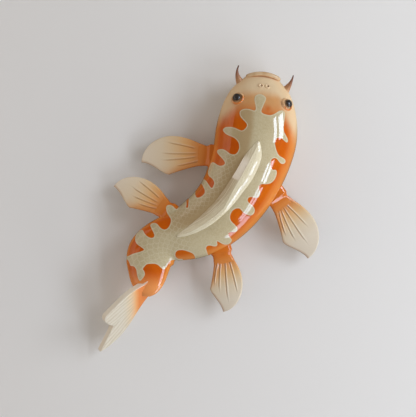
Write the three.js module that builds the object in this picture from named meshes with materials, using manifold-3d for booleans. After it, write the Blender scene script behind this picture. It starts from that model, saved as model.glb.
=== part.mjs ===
// A koi wall sculpture in glazed stoneware, seen from above as it swims up the wall.
// Millimetres, +Z up. The wall is the plane y = 0 and the fish stands out of it towards -Y.
// The origin is the seat of the upper wall screw, on the wall.
// Along the fish, places are given as a station on the spine, a distance across it
// (positive to the viewer's right) and a height above the wall.
import * as THREE from "three";
import { mergeVertices } from "three/addons/utils/BufferGeometryUtils.js";
import Module from "manifold-3d";

const wasm = await Module();
wasm.setup();

const { degToRad, lerp } = THREE.MathUtils;

// Joint between two fired pieces, filled with adhesive
const GLUE_LINE = 0.3;

// Facets round a turned piece, and round a small one; points closer than the weld are one
const ROUND_FACETS = 24;
const SMALL_ROUND_FACETS = 14;
const WELD = 1e-4;

// Spine, from the snout down: a straight head, two bends to the left and a tail that turns back
const HEAD_TILT = degToRad(5.6);
const HEAD_RUN = 61;
const SHOULDER_RADIUS = 163;
const SHOULDER_TURN = degToRad(27.4);
const BACK_RADIUS = 106;
const BACK_TURN = degToRad(45);
const TAIL_RADIUS = 34;
const TAIL_TURN = degToRad(73.6);

// Body: its length from the snout, its greatest half width and the greatest height of its back
const BODY_LENGTH = 300.5;
const BODY_HALF_WIDTH = 45;
const BODY_BACK_HEIGHT = 63;

// Body sections from snout to tail, as shares of the length, the half width and the back's height
const BODY_SECTIONS = [
  [0.0067, 0.178, 0.508],
  [0.01, 0.311, 0.548],
  [0.0166, 0.411, 0.587],
  [0.03, 0.5, 0.627],
  [0.0466, 0.611, 0.667],
  [0.0699, 0.733, 0.73],
  [0.1265, 0.893, 0.857],
  [0.2163, 1, 0.976],
  [0.3461, 0.942, 1],
  [0.4925, 0.838, 0.937],
  [0.6389, 0.727, 0.825],
  [0.7687, 0.56, 0.714],
  [0.8453, 0.593, 0.651],
  [0.9052, 0.502, 0.595],
  [0.9584, 0.378, 0.54],
  [0.9884, 0.222, 0.492],
  [1, 0.089, 0.444],
];
const GIRTH_HEIGHT = 27; // height of the widest line above the wall
const BELLY_ROUND = 1; // belly depth below the widest line, as a share of the half width
const BODY_RINGS = 42;
const BODY_SIDES = 28;

// Hollow of the body, and the back plate that closes it
const WALL = 6;
const CAVITY_START = 24;
const CAVITY_END = 0.7987 * BODY_LENGTH;
const CAVITY_ROUND = 6;
const CAVITY_RINGS = 16;
const CAVITY_SIDES = 18;
const PLATE_THICKNESS = 6;
const PLATE_START = 24;
const PLATE_END = 0.7122 * BODY_LENGTH;
const PLATE_RIM = 6;
const PLATE_STEPS = 22;
const PLATE_SQUARENESS = 6; // a higher power gives the plate blunter ends

// Keyholes in the back plate: the head hole takes the screw head, the slot rises to the seat
const KEYHOLE_HEAD_RADIUS = 5.5;
const KEYHOLE_SLOT_WIDTH = 5.4;
const KEYHOLE_TRAVEL = 12;
const UPPER_SEAT_STATION = 72;
const LOWER_SEAT_STATION = 0.8785 * PLATE_END;
const LOWER_SEAT_ACROSS = -5;

// Felt pads that keep the back off the wall
const PAD_RADIUS = 7;
const PAD_THICKNESS = 2;
const PAD_HEAD_STATION = 45;
const PAD_SIDE_STATION = 122;
const PAD_SIDE_ACROSS = 16;

// The face is turned a little to the viewer's right: its pieces sit to that side of the spine
const FACE_ACROSS = 2.5;
const FACE_TURN = degToRad(11);

// Mouth and lip
const LIP_STATION = 1;
const LIP_HALF_WIDTH = 16.5;
const LIP_HALF_HEIGHT = 6;
const LIP_HEIGHT = 30;
const LIP_ROLL_RADIUS = 2.7;
const LIP_SWEEP_RADIUS = 40;
const LIP_ACROSS = 1.2;
const LIP_STEPS = 28;
const LIP_SIDES = 8;
const MOUTH_HALF_WIDTH = 12;
const MOUTH_HALF_HEIGHT = 4.4;
const MOUTH_DEPTH = 6;

// Eyes
const EYE_STATION = 32.3;
const EYE_ACROSS = 26.5;
const EYE_TILT = degToRad(33);
const EYE_LEAN = degToRad(20); // towards the snout
const EYE_RADIUS = 4.3;
const EYE_LIFT = 2; // how far a bead's middle stands above the head's surface
const EYE_RIM_GAP = 0.5;
const EYE_RIM_WIDTH = 2.2;
const EYE_RIM_RISE = 1.5;

// Nostrils
const NOSTRIL_STATION = 14.5;
const NOSTRIL_ACROSS = 3.9;
const NOSTRIL_RADIUS = 2.1;
const NOSTRIL_HOLE_RADIUS = 0.9;
const NOSTRIL_RISE = 1.1;

// Barbels: station, distance across and height of the root, the bend and the tip
const BARBELS = {
  left: [
    [14.5, -20.3, 25],
    [4.5, -31, 31],
    [-6, -26.8, 38],
  ],
  right: [
    [19, 24.2, 25],
    [8, 33, 31],
    [-1, 33.4, 38],
  ],
};
const BARBEL_ROOT_RADIUS = 6.2;
const BARBEL_TIP_RADIUS = 0.7;
const BARBEL_TAPER = 1.8; // over 1 makes the horn hollow-sided, with a broad foot
const BARBEL_STEPS = 10;
const BARBEL_SIDES = 10;
const BARBEL_PEG_RADIUS = 1.5;
const BARBEL_PEG_DEPTH = 5;
const BARBEL_PEG_REACH = 0.4; // share of the horn that the peg runs up into

// Dorsal fin: a low keel that sways along the back, with a rail in a groove under it.
// Station, across of the left foot, the crest and the right foot, height of the crest
const DORSAL_SECTIONS = [
  [71, 1, 2, 3.5, 1],
  [80, -4, 2, 7, 3.6],
  [92, -7, -0.8, 8.4, 5.2],
  [113, -8.6, -3.6, 6.8, 6.2],
  [136, -10, -3.8, 5, 6.2],
  [159, -10, -0.8, 3.4, 5.6],
  [182, -8.8, -0.8, 3, 4.6],
  [205, -4.6, -0.6, 2.4, 2.8],
  [217, -1.6, -0.4, 1, 1],
];
const DORSAL_CREST_RADIUS = 1;
const DORSAL_HOLLOW_LEFT = 0.9; // under 1 makes a flank hollow
const DORSAL_HOLLOW_RIGHT = 0.55;
const DORSAL_RISES = [0, 0.12, 0.42, 1]; // shares of a flank's height
const DORSAL_RAIL_WIDTH = 4.4;
const DORSAL_RAIL_DEPTH = 3.5;
const DORSAL_RAIL_START = 92;
const DORSAL_RAIL_END = 196;
const DORSAL_STEPS = 22;
const DORSAL_RAIL_STEPS = 10;

// Paired fins: a blade with carved rays, a tongue in the body and a cuff round the root
const PECTORAL = {
  length: 79,
  rootHalf: 10.2,
  leadSpread: 20.7,
  leadAt: 44.3,
  trailSpread: 22.3,
  trailAt: 47.5,
  tipDrop: 10.2,
};
const PELVIC = {
  length: 69.5,
  rootHalf: 9.3,
  leadSpread: 16.3,
  leadAt: 34.7,
  trailSpread: 20.9,
  trailAt: 40.9,
  tipDrop: 12.2,
};
// Where each fin leaves the body is a share of the body's length
const PAIRED_FINS = [
  { name: "pectoral_left", form: PECTORAL, at: 0.3594, side: -1, sweep: degToRad(19.3) },
  { name: "pectoral_right", form: PECTORAL, at: 0.3983, side: 1, sweep: degToRad(28.3) },
  { name: "pelvic_left", form: PELVIC, at: 0.7321, side: -1, sweep: degToRad(41.3) },
  { name: "pelvic_right", form: PELVIC, at: 0.6143, side: 1, sweep: degToRad(20) },
];
const FIN_ROOT_RISE = 2; // height of a fin root above the widest line
const FIN_SLOPE = degToRad(12); // how far a fin leans back to the wall
const FIN_ROOT_THICKNESS = 5;
const FIN_TIP_THICKNESS = 3.2;
const FIN_CAMBER = 3;
const FIN_NECK = 6; // length of the parallel root
const FIN_STEPS = 12;
const TIP_BLUNT = 0.2; // how far the tip is rounded off
const EDGE_SHARE = 0.12; // thickness left at the edges
const EDGE_SQUARENESS = 8; // a higher power keeps the blade thick nearer its edges
const EDGE_MARGIN = 0.06; // share of the blade's width where it thins out
const TRAIL_FLARE = 1.35; // over 1 hollows the trailing edge before its corner
const TRAIL_SCOOP = 1.5; // over 1 hollows it between corner and tip
const REAR_COLUMNS = [1, 1 - EDGE_MARGIN, 0.7, 0.3, EDGE_MARGIN, 0]; // across the plain rear of a blade
const RAY_COUNT = 4;
const RAY_DEPTH = 0.8;
const RAY_HALF_WIDTH = 0.022; // share of the blade's width
const RAY_START = 15;
const RAY_END_MARGIN = 13;
const TONGUE_LENGTH = 12;
const TONGUE_HALF_WIDTH = 8;
const TONGUE_THICKNESS = 3.6;
const CUFF_LENGTH = 10;
const CUFF_WALL = 1.6;
const CUFF_SIDES = 18;
const CUFF_SQUARENESS = 0.7; // under 1 flattens the cuff's faces

// Tail fin: a forked slab let into the end of the body and turned on its edge
const TAIL_COVER = 10.5; // length of the body's end that closes round the tail's root
const TAIL_STATION = BODY_LENGTH - TAIL_COVER;
const TAIL_HEIGHT = 26;
const TAIL_SWING = degToRad(40.5);
const TAIL_ROLL = degToRad(50);
const TAIL_THICKNESS = 7;
const TAIL_BEVEL = 1.3;
const TAIL_ROOT_SINK = 10; // how far the slab runs on inside the body
const TAIL_ROOT_FAR = 9.5;
const TAIL_ROOT_NEAR = 13;
const TAIL_NEAR_HALF = 17.5;
const TAIL_NEAR_LENGTH = 59;
const TAIL_NEAR_ROUND = 8;
const TAIL_FAR_HALF = 24.3;
const TAIL_FAR_BELLY = 64; // where the far edge stands out most
const TAIL_FAR_LENGTH = 89;
const TAIL_TIP_DROP = 19;
const TAIL_FORK_LENGTH = 56.5;
const TAIL_FORK_DROP = 3.7;
const TAIL_TONGUE_LENGTH = 17;
const TAIL_TONGUE_HALF = 7;
const TAIL_TONGUE_THICKNESS = 4.4;

const TAU = 2 * Math.PI;
const OUT = new THREE.Vector3(0, -1, 0); // away from the wall
const BACK_HEIGHT = PAD_THICKNESS + GLUE_LINE; // height of the flat back above the wall

// Solids

function solidFrom(geometry) {
  const bare = geometry.clone();
  bare.deleteAttribute("normal");
  bare.deleteAttribute("uv");
  const merged = mergeVertices(bare, WELD);
  const vertProperties = merged.attributes.position.array;
  const triVerts = Uint32Array.from(merged.index.array);
  const made = new wasm.Manifold(new wasm.Mesh({ numProp: 3, vertProperties, triVerts }));
  if (made.volume() > 0) {
    return made;
  }
  triVerts.reverse();
  return new wasm.Manifold(new wasm.Mesh({ numProp: 3, vertProperties, triVerts }));
}

function geometryFrom(solid) {
  const { vertProperties, triVerts } = solid.getMesh();
  const geometry = new THREE.BufferGeometry();
  geometry.setAttribute("position", new THREE.BufferAttribute(vertProperties, 3));
  geometry.setIndex(new THREE.BufferAttribute(triVerts, 1));
  geometry.computeVertexNormals();
  return geometry;
}

// A skin through rings of as many points each, capped at both ends or joined into a loop.
function loft(rings, looped = false) {
  const sides = rings[0].length;
  const points = rings.flat();
  const index = [];
  const spans = looped ? rings.length : rings.length - 1;
  for (let i = 0; i < spans; i++) {
    const here = i * sides;
    const next = ((i + 1) % rings.length) * sides;
    for (let j = 0; j < sides; j++) {
      const k = (j + 1) % sides;
      index.push(here + j, next + j, next + k, here + j, next + k, here + k);
    }
  }
  if (!looped) {
    const last = (rings.length - 1) * sides;
    const ends = [
      [rings[0], 0],
      [rings.at(-1), last],
    ];
    for (const [ring, start] of ends) {
      const middle = new THREE.Vector3();
      ring.forEach((point) => middle.addScaledVector(point, 1 / sides));
      const hub = points.push(middle) - 1;
      for (let j = 0; j < sides; j++) {
        const k = (j + 1) % sides;
        const pair = start === 0 ? [start + j, start + k] : [start + k, start + j];
        index.push(hub, ...pair);
      }
    }
  }
  const geometry = new THREE.BufferGeometry().setFromPoints(points);
  geometry.setIndex(index);
  return solidFrom(geometry);
}

// A geometry made along local x, y and z, set at a point with those axes.
function setAt(geometry, origin, xAxis, yAxis, zAxis) {
  const matrix = new THREE.Matrix4().makeBasis(xAxis, yAxis, zAxis).setPosition(origin);
  return solidFrom(geometry.applyMatrix4(matrix));
}

// A turned piece whose axis points from its seat along a direction.
function turned(profile, seat, axis, segments) {
  const points = profile.map(([radius, height]) => new THREE.Vector2(radius, height));
  const geometry = new THREE.LatheGeometry(points, segments);
  const turn = new THREE.Quaternion().setFromUnitVectors(new THREE.Vector3(0, 1, 0), axis);
  return solidFrom(geometry.applyQuaternion(turn).translate(seat.x, seat.y, seat.z));
}

// Spine and body form

const SPINE_RUNS = [
  { length: HEAD_RUN, bend: 0 },
  { length: SHOULDER_RADIUS * SHOULDER_TURN, bend: 1 / SHOULDER_RADIUS },
  { length: BACK_RADIUS * BACK_TURN, bend: 1 / BACK_RADIUS },
  { length: TAIL_RADIUS * TAIL_TURN, bend: -1 / TAIL_RADIUS },
  { length: Infinity, bend: 0 },
];

// The spine's point at a station, with its heading from straight down towards the left.
function spineAt(station) {
  let x = 0;
  let z = 0;
  let heading = HEAD_TILT;
  let left = station;
  for (const { length, bend } of SPINE_RUNS) {
    const step = Math.min(left, length);
    const turned = heading + step * bend;
    if (bend === 0) {
      x -= step * Math.sin(heading);
      z -= step * Math.cos(heading);
    } else {
      x += (Math.cos(turned) - Math.cos(heading)) / bend;
      z -= (Math.sin(turned) - Math.sin(heading)) / bend;
    }
    heading = turned;
    left -= step;
  }
  return { x, z, heading };
}

function place(station, across, height) {
  const { x, z, heading } = spineAt(station);
  return new THREE.Vector3(
    x + across * Math.cos(heading),
    -height,
    z - across * Math.sin(heading),
  );
}

// The direction across the spine to the viewer's right, and the direction towards the tail.
function directionsAt(station) {
  const { heading } = spineAt(station);
  return {
    right: new THREE.Vector3(Math.cos(heading), 0, -Math.sin(heading)),
    tailward: new THREE.Vector3(-Math.sin(heading), 0, -Math.cos(heading)),
  };
}

const bodyCurve = new THREE.CatmullRomCurve3(
  BODY_SECTIONS.map(
    ([along, wide, high]) =>
      new THREE.Vector3(along * BODY_LENGTH, wide * BODY_HALF_WIDTH, high * BODY_BACK_HEIGHT),
  ),
);

// The body's half width and back height at a station.
function sectionAt(station) {
  let low = 0;
  let high = 1;
  while (high - low > 1e-6) {
    const middle = (low + high) / 2;
    if (bodyCurve.getPoint(middle).x < station) {
      low = middle;
    } else {
      high = middle;
    }
  }
  const { y: half, z: back } = bodyCurve.getPoint(low);
  return { half, back };
}

// Height of the body's surface above the wall, on the viewer's side.
function surfaceHeight(station, across) {
  const { half, back } = sectionAt(station);
  return GIRTH_HEIGHT + (back - GIRTH_HEIGHT) * Math.sqrt(1 - (across / half) ** 2);
}

function bodyRing(station, half, back, grow, sides) {
  const ring = [];
  for (let i = 0; i < sides; i++) {
    const angle = (TAU * i) / sides;
    const lift = Math.sin(angle);
    const reach = lift > 0 ? back - GIRTH_HEIGHT : half * BELLY_ROUND;
    ring.push(
      place(station, (half + grow) * Math.cos(angle), GIRTH_HEIGHT + (reach + grow) * lift),
    );
  }
  return ring;
}

// The whole fish, grown all round: pieces that sit on the body are cut by a grown one.
function bodyForm(grow) {
  const sections = bodyCurve.getSpacedPoints(BODY_RINGS);
  const last = sections.length - 1;
  const rings = sections.map(({ x, y, z }, i) => {
    const shift = i === 0 ? -grow : i === last ? grow : 0;
    return bodyRing(x + shift, y, z, grow, BODY_SIDES);
  });
  return loft(rings);
}

// Everything behind the flat back.
function behindBack() {
  const reach = 2 * BODY_LENGTH;
  const block = new THREE.BoxGeometry(2 * reach, reach, 2 * reach);
  return solidFrom(block.translate(0, reach / 2 - BACK_HEIGHT, 0));
}

function cavity() {
  const rings = [];
  for (let i = 0; i <= CAVITY_RINGS; i++) {
    const station = lerp(CAVITY_START, CAVITY_END, i / CAVITY_RINGS);
    const { half, back } = sectionAt(station);
    const isEnd = i === 0 || i === CAVITY_RINGS;
    rings.push(bodyRing(station, half, back, isEnd ? -WALL - CAVITY_ROUND : -WALL, CAVITY_SIDES));
  }
  return loft(rings);
}

// Back plate

// Half width of the flat back at a station.
function flatHalf(station) {
  const { half } = sectionAt(station);
  const drop = (GIRTH_HEIGHT - BACK_HEIGHT) / (half * BELLY_ROUND);
  return half * Math.sqrt(1 - drop ** 2);
}

function plateOutline(grow) {
  const left = [];
  const right = [];
  for (let i = 0; i <= PLATE_STEPS; i++) {
    const along = -Math.cos((Math.PI * i) / PLATE_STEPS);
    const station = lerp(PLATE_START - grow, PLATE_END + grow, (along + 1) / 2);
    const rounding = Math.sqrt(1 - along ** PLATE_SQUARENESS);
    const half = (flatHalf(station) - PLATE_RIM) * rounding + grow;
    left.push(place(station, -half, 0));
    right.unshift(place(station, half, 0));
  }
  return new THREE.Shape([...left, ...right].map(({ x, z }) => new THREE.Vector2(x, z)));
}

// The outline of a keyhole whose screw seat is at a point of the wall.
function keyhole({ x, z }) {
  const slotHalf = KEYHOLE_SLOT_WIDTH / 2;
  const mouth = Math.asin(slotHalf / KEYHOLE_HEAD_RADIUS);
  const outline = new THREE.Path();
  outline.absarc(x, z, slotHalf, 0, Math.PI);
  outline.absarc(
    x,
    z - KEYHOLE_TRAVEL,
    KEYHOLE_HEAD_RADIUS,
    Math.PI / 2 + mouth,
    Math.PI / 2 - mouth + TAU,
  );
  outline.closePath();
  return outline;
}

// An outline on the wall, made solid from one height to another.
function standing(shape, from, to) {
  const geometry = new THREE.ExtrudeGeometry(shape, {
    depth: to - from,
    bevelEnabled: false,
    curveSegments: ROUND_FACETS / 2,
  });
  return solidFrom(geometry.rotateX(Math.PI / 2).translate(0, -from, 0));
}

const upperSeat = place(UPPER_SEAT_STATION, 0, 0);
const lowerSeat = place(LOWER_SEAT_STATION, LOWER_SEAT_ACROSS, 0);
const plateTop = BACK_HEIGHT + PLATE_THICKNESS;

function backPlate() {
  const outline = plateOutline(0);
  outline.holes.push(keyhole(upperSeat), keyhole(lowerSeat));
  return standing(outline, BACK_HEIGHT, plateTop);
}

function plateRecess() {
  return standing(plateOutline(GLUE_LINE), 0, plateTop + GLUE_LINE);
}

function wallPad(station, across) {
  const centre = place(station, across, PAD_THICKNESS / 2);
  const disc = new THREE.CylinderGeometry(PAD_RADIUS, PAD_RADIUS, PAD_THICKNESS, ROUND_FACETS);
  return solidFrom(disc.translate(centre.x, centre.y, centre.z));
}

// Head pieces

// The roll of clay round the mouth, swept back at its corners.
function lip() {
  const centres = [];
  for (let i = 0; i < LIP_STEPS; i++) {
    const angle = (TAU * i) / LIP_STEPS;
    const across = LIP_HALF_WIDTH * Math.cos(angle);
    const station = LIP_STATION + across ** 2 / (2 * LIP_SWEEP_RADIUS);
    const height = LIP_HEIGHT + LIP_HALF_HEIGHT * Math.sin(angle);
    centres.push(place(station, across + LIP_ACROSS, height));
  }
  const path = new THREE.CatmullRomCurve3(centres, true);
  const { tailward } = directionsAt(0);
  const rings = centres.map((centre, i) => {
    const along = path.getTangent(i / centres.length);
    const outward = along.clone().cross(tailward).normalize();
    const forward = outward.clone().cross(along);
    return tubeRing(centre, outward, forward, LIP_ROLL_RADIUS, LIP_SIDES);
  });
  return loft(rings, true);
}

function tubeRing(centre, xAxis, yAxis, radius, sides) {
  const ring = [];
  for (let i = 0; i < sides; i++) {
    const angle = (TAU * i) / sides;
    const point = centre.clone().addScaledVector(xAxis, radius * Math.cos(angle));
    ring.push(point.addScaledVector(yAxis, radius * Math.sin(angle)));
  }
  return ring;
}

function mouth() {
  const { right, tailward } = directionsAt(0);
  const bowl = new THREE.SphereGeometry(1, ROUND_FACETS, ROUND_FACETS / 2);
  bowl.scale(MOUTH_HALF_WIDTH, MOUTH_HALF_HEIGHT, MOUTH_DEPTH);
  return setAt(bowl, place(bodyCurve.points[0].x, 0, LIP_HEIGHT), right, OUT, tailward.negate());
}

// Where an eye sits and the way it looks.
function eyeSeat(side) {
  const across = FACE_ACROSS + side * EYE_ACROSS;
  const seat = place(EYE_STATION, across, surfaceHeight(EYE_STATION, across));
  const { right, tailward } = directionsAt(EYE_STATION);
  const tilt = FACE_TURN + side * EYE_TILT;
  const axis = OUT.clone().multiplyScalar(Math.cos(tilt));
  axis.addScaledVector(right, Math.sin(tilt)).multiplyScalar(Math.cos(EYE_LEAN));
  axis.addScaledVector(tailward, -Math.sin(EYE_LEAN));
  return { seat, axis };
}

function eyeRim(side) {
  const { seat, axis } = eyeSeat(side);
  const inner = EYE_RADIUS + EYE_RIM_GAP;
  const outer = inner + EYE_RIM_WIDTH;
  const sunk = -2 * EYE_RADIUS;
  const profile = [
    [inner, sunk],
    [outer, sunk],
    [outer, EYE_RIM_RISE * 0.35],
    [lerp(inner, outer, 0.75), EYE_RIM_RISE * 0.85],
    [lerp(inner, outer, 0.35), EYE_RIM_RISE],
    [inner, EYE_RIM_RISE * 0.7],
    [inner, sunk],
  ];
  return turned(profile, seat, axis, ROUND_FACETS);
}

function eye(side) {
  const { seat, axis } = eyeSeat(side);
  const bead = new THREE.SphereGeometry(EYE_RADIUS, ROUND_FACETS, ROUND_FACETS / 2);
  const turn = new THREE.Quaternion().setFromUnitVectors(new THREE.Vector3(0, 1, 0), axis);
  const centre = seat.addScaledVector(axis, EYE_LIFT);
  return solidFrom(bead.applyQuaternion(turn).translate(centre.x, centre.y, centre.z));
}

function nostril(side) {
  const across = FACE_ACROSS + side * NOSTRIL_ACROSS;
  const seat = place(NOSTRIL_STATION, across, surfaceHeight(NOSTRIL_STATION, across));
  const sunk = -2 * NOSTRIL_RADIUS;
  const profile = [
    [NOSTRIL_HOLE_RADIUS, sunk],
    [NOSTRIL_RADIUS, sunk],
    [NOSTRIL_RADIUS, NOSTRIL_RISE * 0.4],
    [lerp(NOSTRIL_HOLE_RADIUS, NOSTRIL_RADIUS, 0.5), NOSTRIL_RISE],
    [NOSTRIL_HOLE_RADIUS, NOSTRIL_RISE * 0.6],
    [NOSTRIL_HOLE_RADIUS, sunk],
  ];
  return turned(profile, seat, OUT, SMALL_ROUND_FACETS);
}

function barbelCurve(side) {
  const points = side < 0 ? BARBELS.left : BARBELS.right;
  return new THREE.QuadraticBezierCurve3(...points.map((point) => place(...point)));
}

function barbelHorn(side) {
  const curve = barbelCurve(side);
  const rings = [];
  for (let i = 0; i <= BARBEL_STEPS; i++) {
    const share = i / BARBEL_STEPS;
    const along = curve.getTangent(share);
    const xAxis = along.clone().cross(OUT).normalize();
    const yAxis = xAxis.clone().cross(along);
    const radius = lerp(BARBEL_TIP_RADIUS, BARBEL_ROOT_RADIUS, (1 - share) ** BARBEL_TAPER);
    rings.push(tubeRing(curve.getPoint(share), xAxis, yAxis, radius, BARBEL_SIDES));
  }
  return loft(rings);
}

// The peg under a barbel, from the middle of the horn's root into the head.
function barbelPeg(side, grow) {
  const curve = barbelCurve(side);
  const along = curve.getTangent(0);
  const inner = curve.getPoint(0).addScaledVector(along, -BARBEL_PEG_DEPTH);
  const outer = curve.getPoint(BARBEL_PEG_REACH);
  const length = inner.distanceTo(outer) + grow;
  const axis = outer.clone().sub(inner).normalize();
  const radius = BARBEL_PEG_RADIUS + grow;
  const profile = [
    [0, -grow],
    [radius, -grow],
    [radius, length],
    [0, length],
  ];
  return turned(profile, inner, axis, SMALL_ROUND_FACETS);
}

// Dorsal fin

const dorsalCurve = new THREE.CubicInterpolant(
  DORSAL_SECTIONS.map(([station]) => station),
  DORSAL_SECTIONS.flatMap(([, ...values]) => values),
  DORSAL_SECTIONS[0].length - 1,
  [],
);

function dorsalAt(station) {
  const [left, crest, right, height] = dorsalCurve.evaluate(station);
  return { left, crest, right, height };
}

// One flank of the keel, from its foot up to the rounded crest.
function dorsalFlank(foot, crest, height, side) {
  const radius = Math.min(DORSAL_CREST_RADIUS, height / 2);
  const brink = crest + side * radius;
  const hollow = side < 0 ? DORSAL_HOLLOW_LEFT : DORSAL_HOLLOW_RIGHT;
  const flank = [[foot, -DORSAL_RAIL_DEPTH]];
  for (const rise of DORSAL_RISES) {
    flank.push([lerp(foot, brink, rise ** hollow), rise * (height - radius)]);
  }
  const round = degToRad(45);
  const shoulder = crest + side * radius * Math.cos(round);
  flank.push([shoulder, height - radius + radius * Math.sin(round)]);
  return flank;
}

function dorsalKeel() {
  const rings = [];
  const first = DORSAL_SECTIONS[0][0];
  const last = DORSAL_SECTIONS.at(-1)[0];
  for (let i = 0; i <= DORSAL_STEPS; i++) {
    const station = lerp(first, last, i / DORSAL_STEPS);
    const { back } = sectionAt(station);
    const { left, crest, right, height } = dorsalAt(station);
    const outline = [
      ...dorsalFlank(right, crest, height, 1),
      [crest, height],
      ...dorsalFlank(left, crest, height, -1).reverse(),
    ];
    rings.push(outline.map(([across, up]) => place(station, across, back + up)));
  }
  return loft(rings);
}

// The rail under the keel, also used to cut its groove.
function dorsalRail(grow) {
  const rings = [];
  for (let i = 0; i <= DORSAL_RAIL_STEPS; i++) {
    const share = i / DORSAL_RAIL_STEPS;
    const station = lerp(DORSAL_RAIL_START - grow, DORSAL_RAIL_END + grow, share);
    const { back } = sectionAt(station);
    const { left, right } = dorsalAt(station);
    const middle = (left + right) / 2;
    const half = DORSAL_RAIL_WIDTH / 2 + grow;
    const low = back - DORSAL_RAIL_DEPTH - grow;
    const high = back + DORSAL_CREST_RADIUS;
    const corners = [
      [middle + half, low],
      [middle + half, high],
      [middle - half, high],
      [middle - half, low],
    ];
    rings.push(corners.map(([across, height]) => place(station, across, height)));
  }
  return loft(rings);
}

// Paired fins

// The point where a fin leaves the body, its axis, its direction towards the head and its face.
function finFrame({ at, side, sweep }) {
  const station = at * BODY_LENGTH;
  const { right, tailward } = directionsAt(station);
  const sideways = right.multiplyScalar(side);
  const flat = sideways.clone().multiplyScalar(Math.cos(sweep));
  flat.addScaledVector(tailward, Math.sin(sweep));
  const leading = sideways.clone().multiplyScalar(Math.sin(sweep));
  leading.addScaledVector(tailward, -Math.cos(sweep));
  const axis = flat.clone().multiplyScalar(Math.cos(FIN_SLOPE));
  axis.addScaledVector(OUT, -Math.sin(FIN_SLOPE));
  const face = flat.clone().multiplyScalar(Math.sin(FIN_SLOPE));
  face.addScaledVector(OUT, Math.cos(FIN_SLOPE));
  const { half } = sectionAt(station);
  const origin = place(station, side * half, GIRTH_HEIGHT + FIN_ROOT_RISE);
  return { origin, axis, leading, face };
}

// The leading edge swells from the neck and closes on the tip as a quarter ellipse.
function leadingEdge(form, along) {
  if (along < form.leadAt) {
    const share = Math.max(0, (along - FIN_NECK) / (form.leadAt - FIN_NECK));
    return lerp(form.rootHalf, form.leadSpread, Math.sin((share * Math.PI) / 2));
  }
  const share = Math.min(1, (along - form.leadAt) / (form.length - form.leadAt));
  return lerp(-form.tipDrop, form.leadSpread, Math.sqrt(1 - share ** 2));
}

// The trailing edge spreads to a corner and is scooped from there to the tip.
function trailingEdge(form, along) {
  if (along < form.trailAt) {
    const share = Math.max(0, (along - FIN_NECK) / (form.trailAt - FIN_NECK));
    return -lerp(form.rootHalf, form.trailSpread, share ** TRAIL_FLARE);
  }
  const share = Math.min(1, (along - form.trailAt) / (form.length - form.trailAt));
  return -lerp(form.trailSpread, form.tipDrop, Math.sin((share * Math.PI) / 2) ** TRAIL_SCOOP);
}

// Places across a blade, from its trailing edge to its leading edge, with the share of the ray
// depth cut there: each ray has a bottom and two brinks.
function bladeColumns() {
  const columns = [[0, 0], [EDGE_MARGIN, 0]];
  for (let ray = 1; ray <= RAY_COUNT; ray++) {
    const middle = ray / (RAY_COUNT + 1);
    columns.push([middle - RAY_HALF_WIDTH, 0], [middle, 1], [middle + RAY_HALF_WIDTH, 0]);
  }
  columns.push([1 - EDGE_MARGIN, 0], [1, 0]);
  return columns;
}

// A blade with its rays, or a grown one without them that cuts the cuff.
function finBlade(fin, grow) {
  const { form } = fin;
  const { origin, axis, leading, face } = finFrame(fin);
  const columns = bladeColumns();
  const stations = [-FIN_NECK, 0];
  for (let i = 1; i <= FIN_STEPS; i++) {
    stations.push((form.length - TIP_BLUNT) * Math.sin((i * Math.PI) / (2 * FIN_STEPS)));
  }
  const rings = stations.map((along) => {
    const low = trailingEdge(form, along) - grow;
    const high = leadingEdge(form, along) + grow;
    const out = Math.max(0, along / form.length);
    const thickness = lerp(FIN_ROOT_THICKNESS, FIN_TIP_THICKNESS, out);
    const isCarved = grow === 0 && along > RAY_START && along < form.length - RAY_END_MARGIN;
    const pointAt = (share, faceSign, cut) => {
      const bow = 2 * share - 1;
      const half = (thickness / 2) * Math.max(Math.sqrt(1 - bow ** EDGE_SQUARENESS), EDGE_SHARE) + grow;
      const depth = isCarved ? cut * RAY_DEPTH : 0;
      const across = lerp(low, high, share);
      const droop = FIN_CAMBER * out * (across / form.trailSpread) ** 2;
      const point = origin.clone().addScaledVector(axis, along).addScaledVector(leading, across);
      return point.addScaledVector(face, faceSign * half - droop - depth);
    };
    const front = columns.map(([share, cut]) => pointAt(share, 1, cut));
    const rear = REAR_COLUMNS.map((share) => pointAt(share, -1, 0));
    return [...front, ...rear];
  });
  return loft(rings);
}

// The tongue of a fin, let into a slot in the body.
function finTongue(fin, grow) {
  const { origin, axis, leading, face } = finFrame(fin);
  const length = TONGUE_LENGTH + FIN_NECK + grow;
  const bar = new THREE.BoxGeometry(
    length,
    2 * (TONGUE_HALF_WIDTH + grow),
    TONGUE_THICKNESS + 2 * grow,
  );
  bar.translate(FIN_NECK - length / 2, 0, 0);
  return setAt(bar, origin, axis, leading, face);
}

// The cuff of clay round a fin's root.
function finCuff(fin) {
  const { form } = fin;
  const { origin, axis, leading, face } = finFrame(fin);
  const outline = [
    [-CUFF_LENGTH, 1],
    [CUFF_LENGTH * 0.3, 1],
    [CUFF_LENGTH * 0.75, 0.9],
    [CUFF_LENGTH, 0.45],
  ];
  const rings = outline.map(([along, share]) => {
    const wall = CUFF_WALL * share;
    const low = trailingEdge(form, along) - wall;
    const high = leadingEdge(form, along) + wall;
    const ring = [];
    for (let i = 0; i < CUFF_SIDES; i++) {
      const angle = (TAU * i) / CUFF_SIDES;
      const wide = Math.sign(Math.cos(angle)) * Math.abs(Math.cos(angle)) ** CUFF_SQUARENESS;
      const thick = Math.sign(Math.sin(angle)) * Math.abs(Math.sin(angle)) ** CUFF_SQUARENESS;
      const point = origin.clone().addScaledVector(axis, along);
      point.addScaledVector(leading, lerp(low, high, (wide + 1) / 2));
      ring.push(point.addScaledVector(face, thick * (FIN_ROOT_THICKNESS / 2 + wall)));
    }
    return ring;
  });
  return loft(rings);
}

// Tail fin

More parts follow.
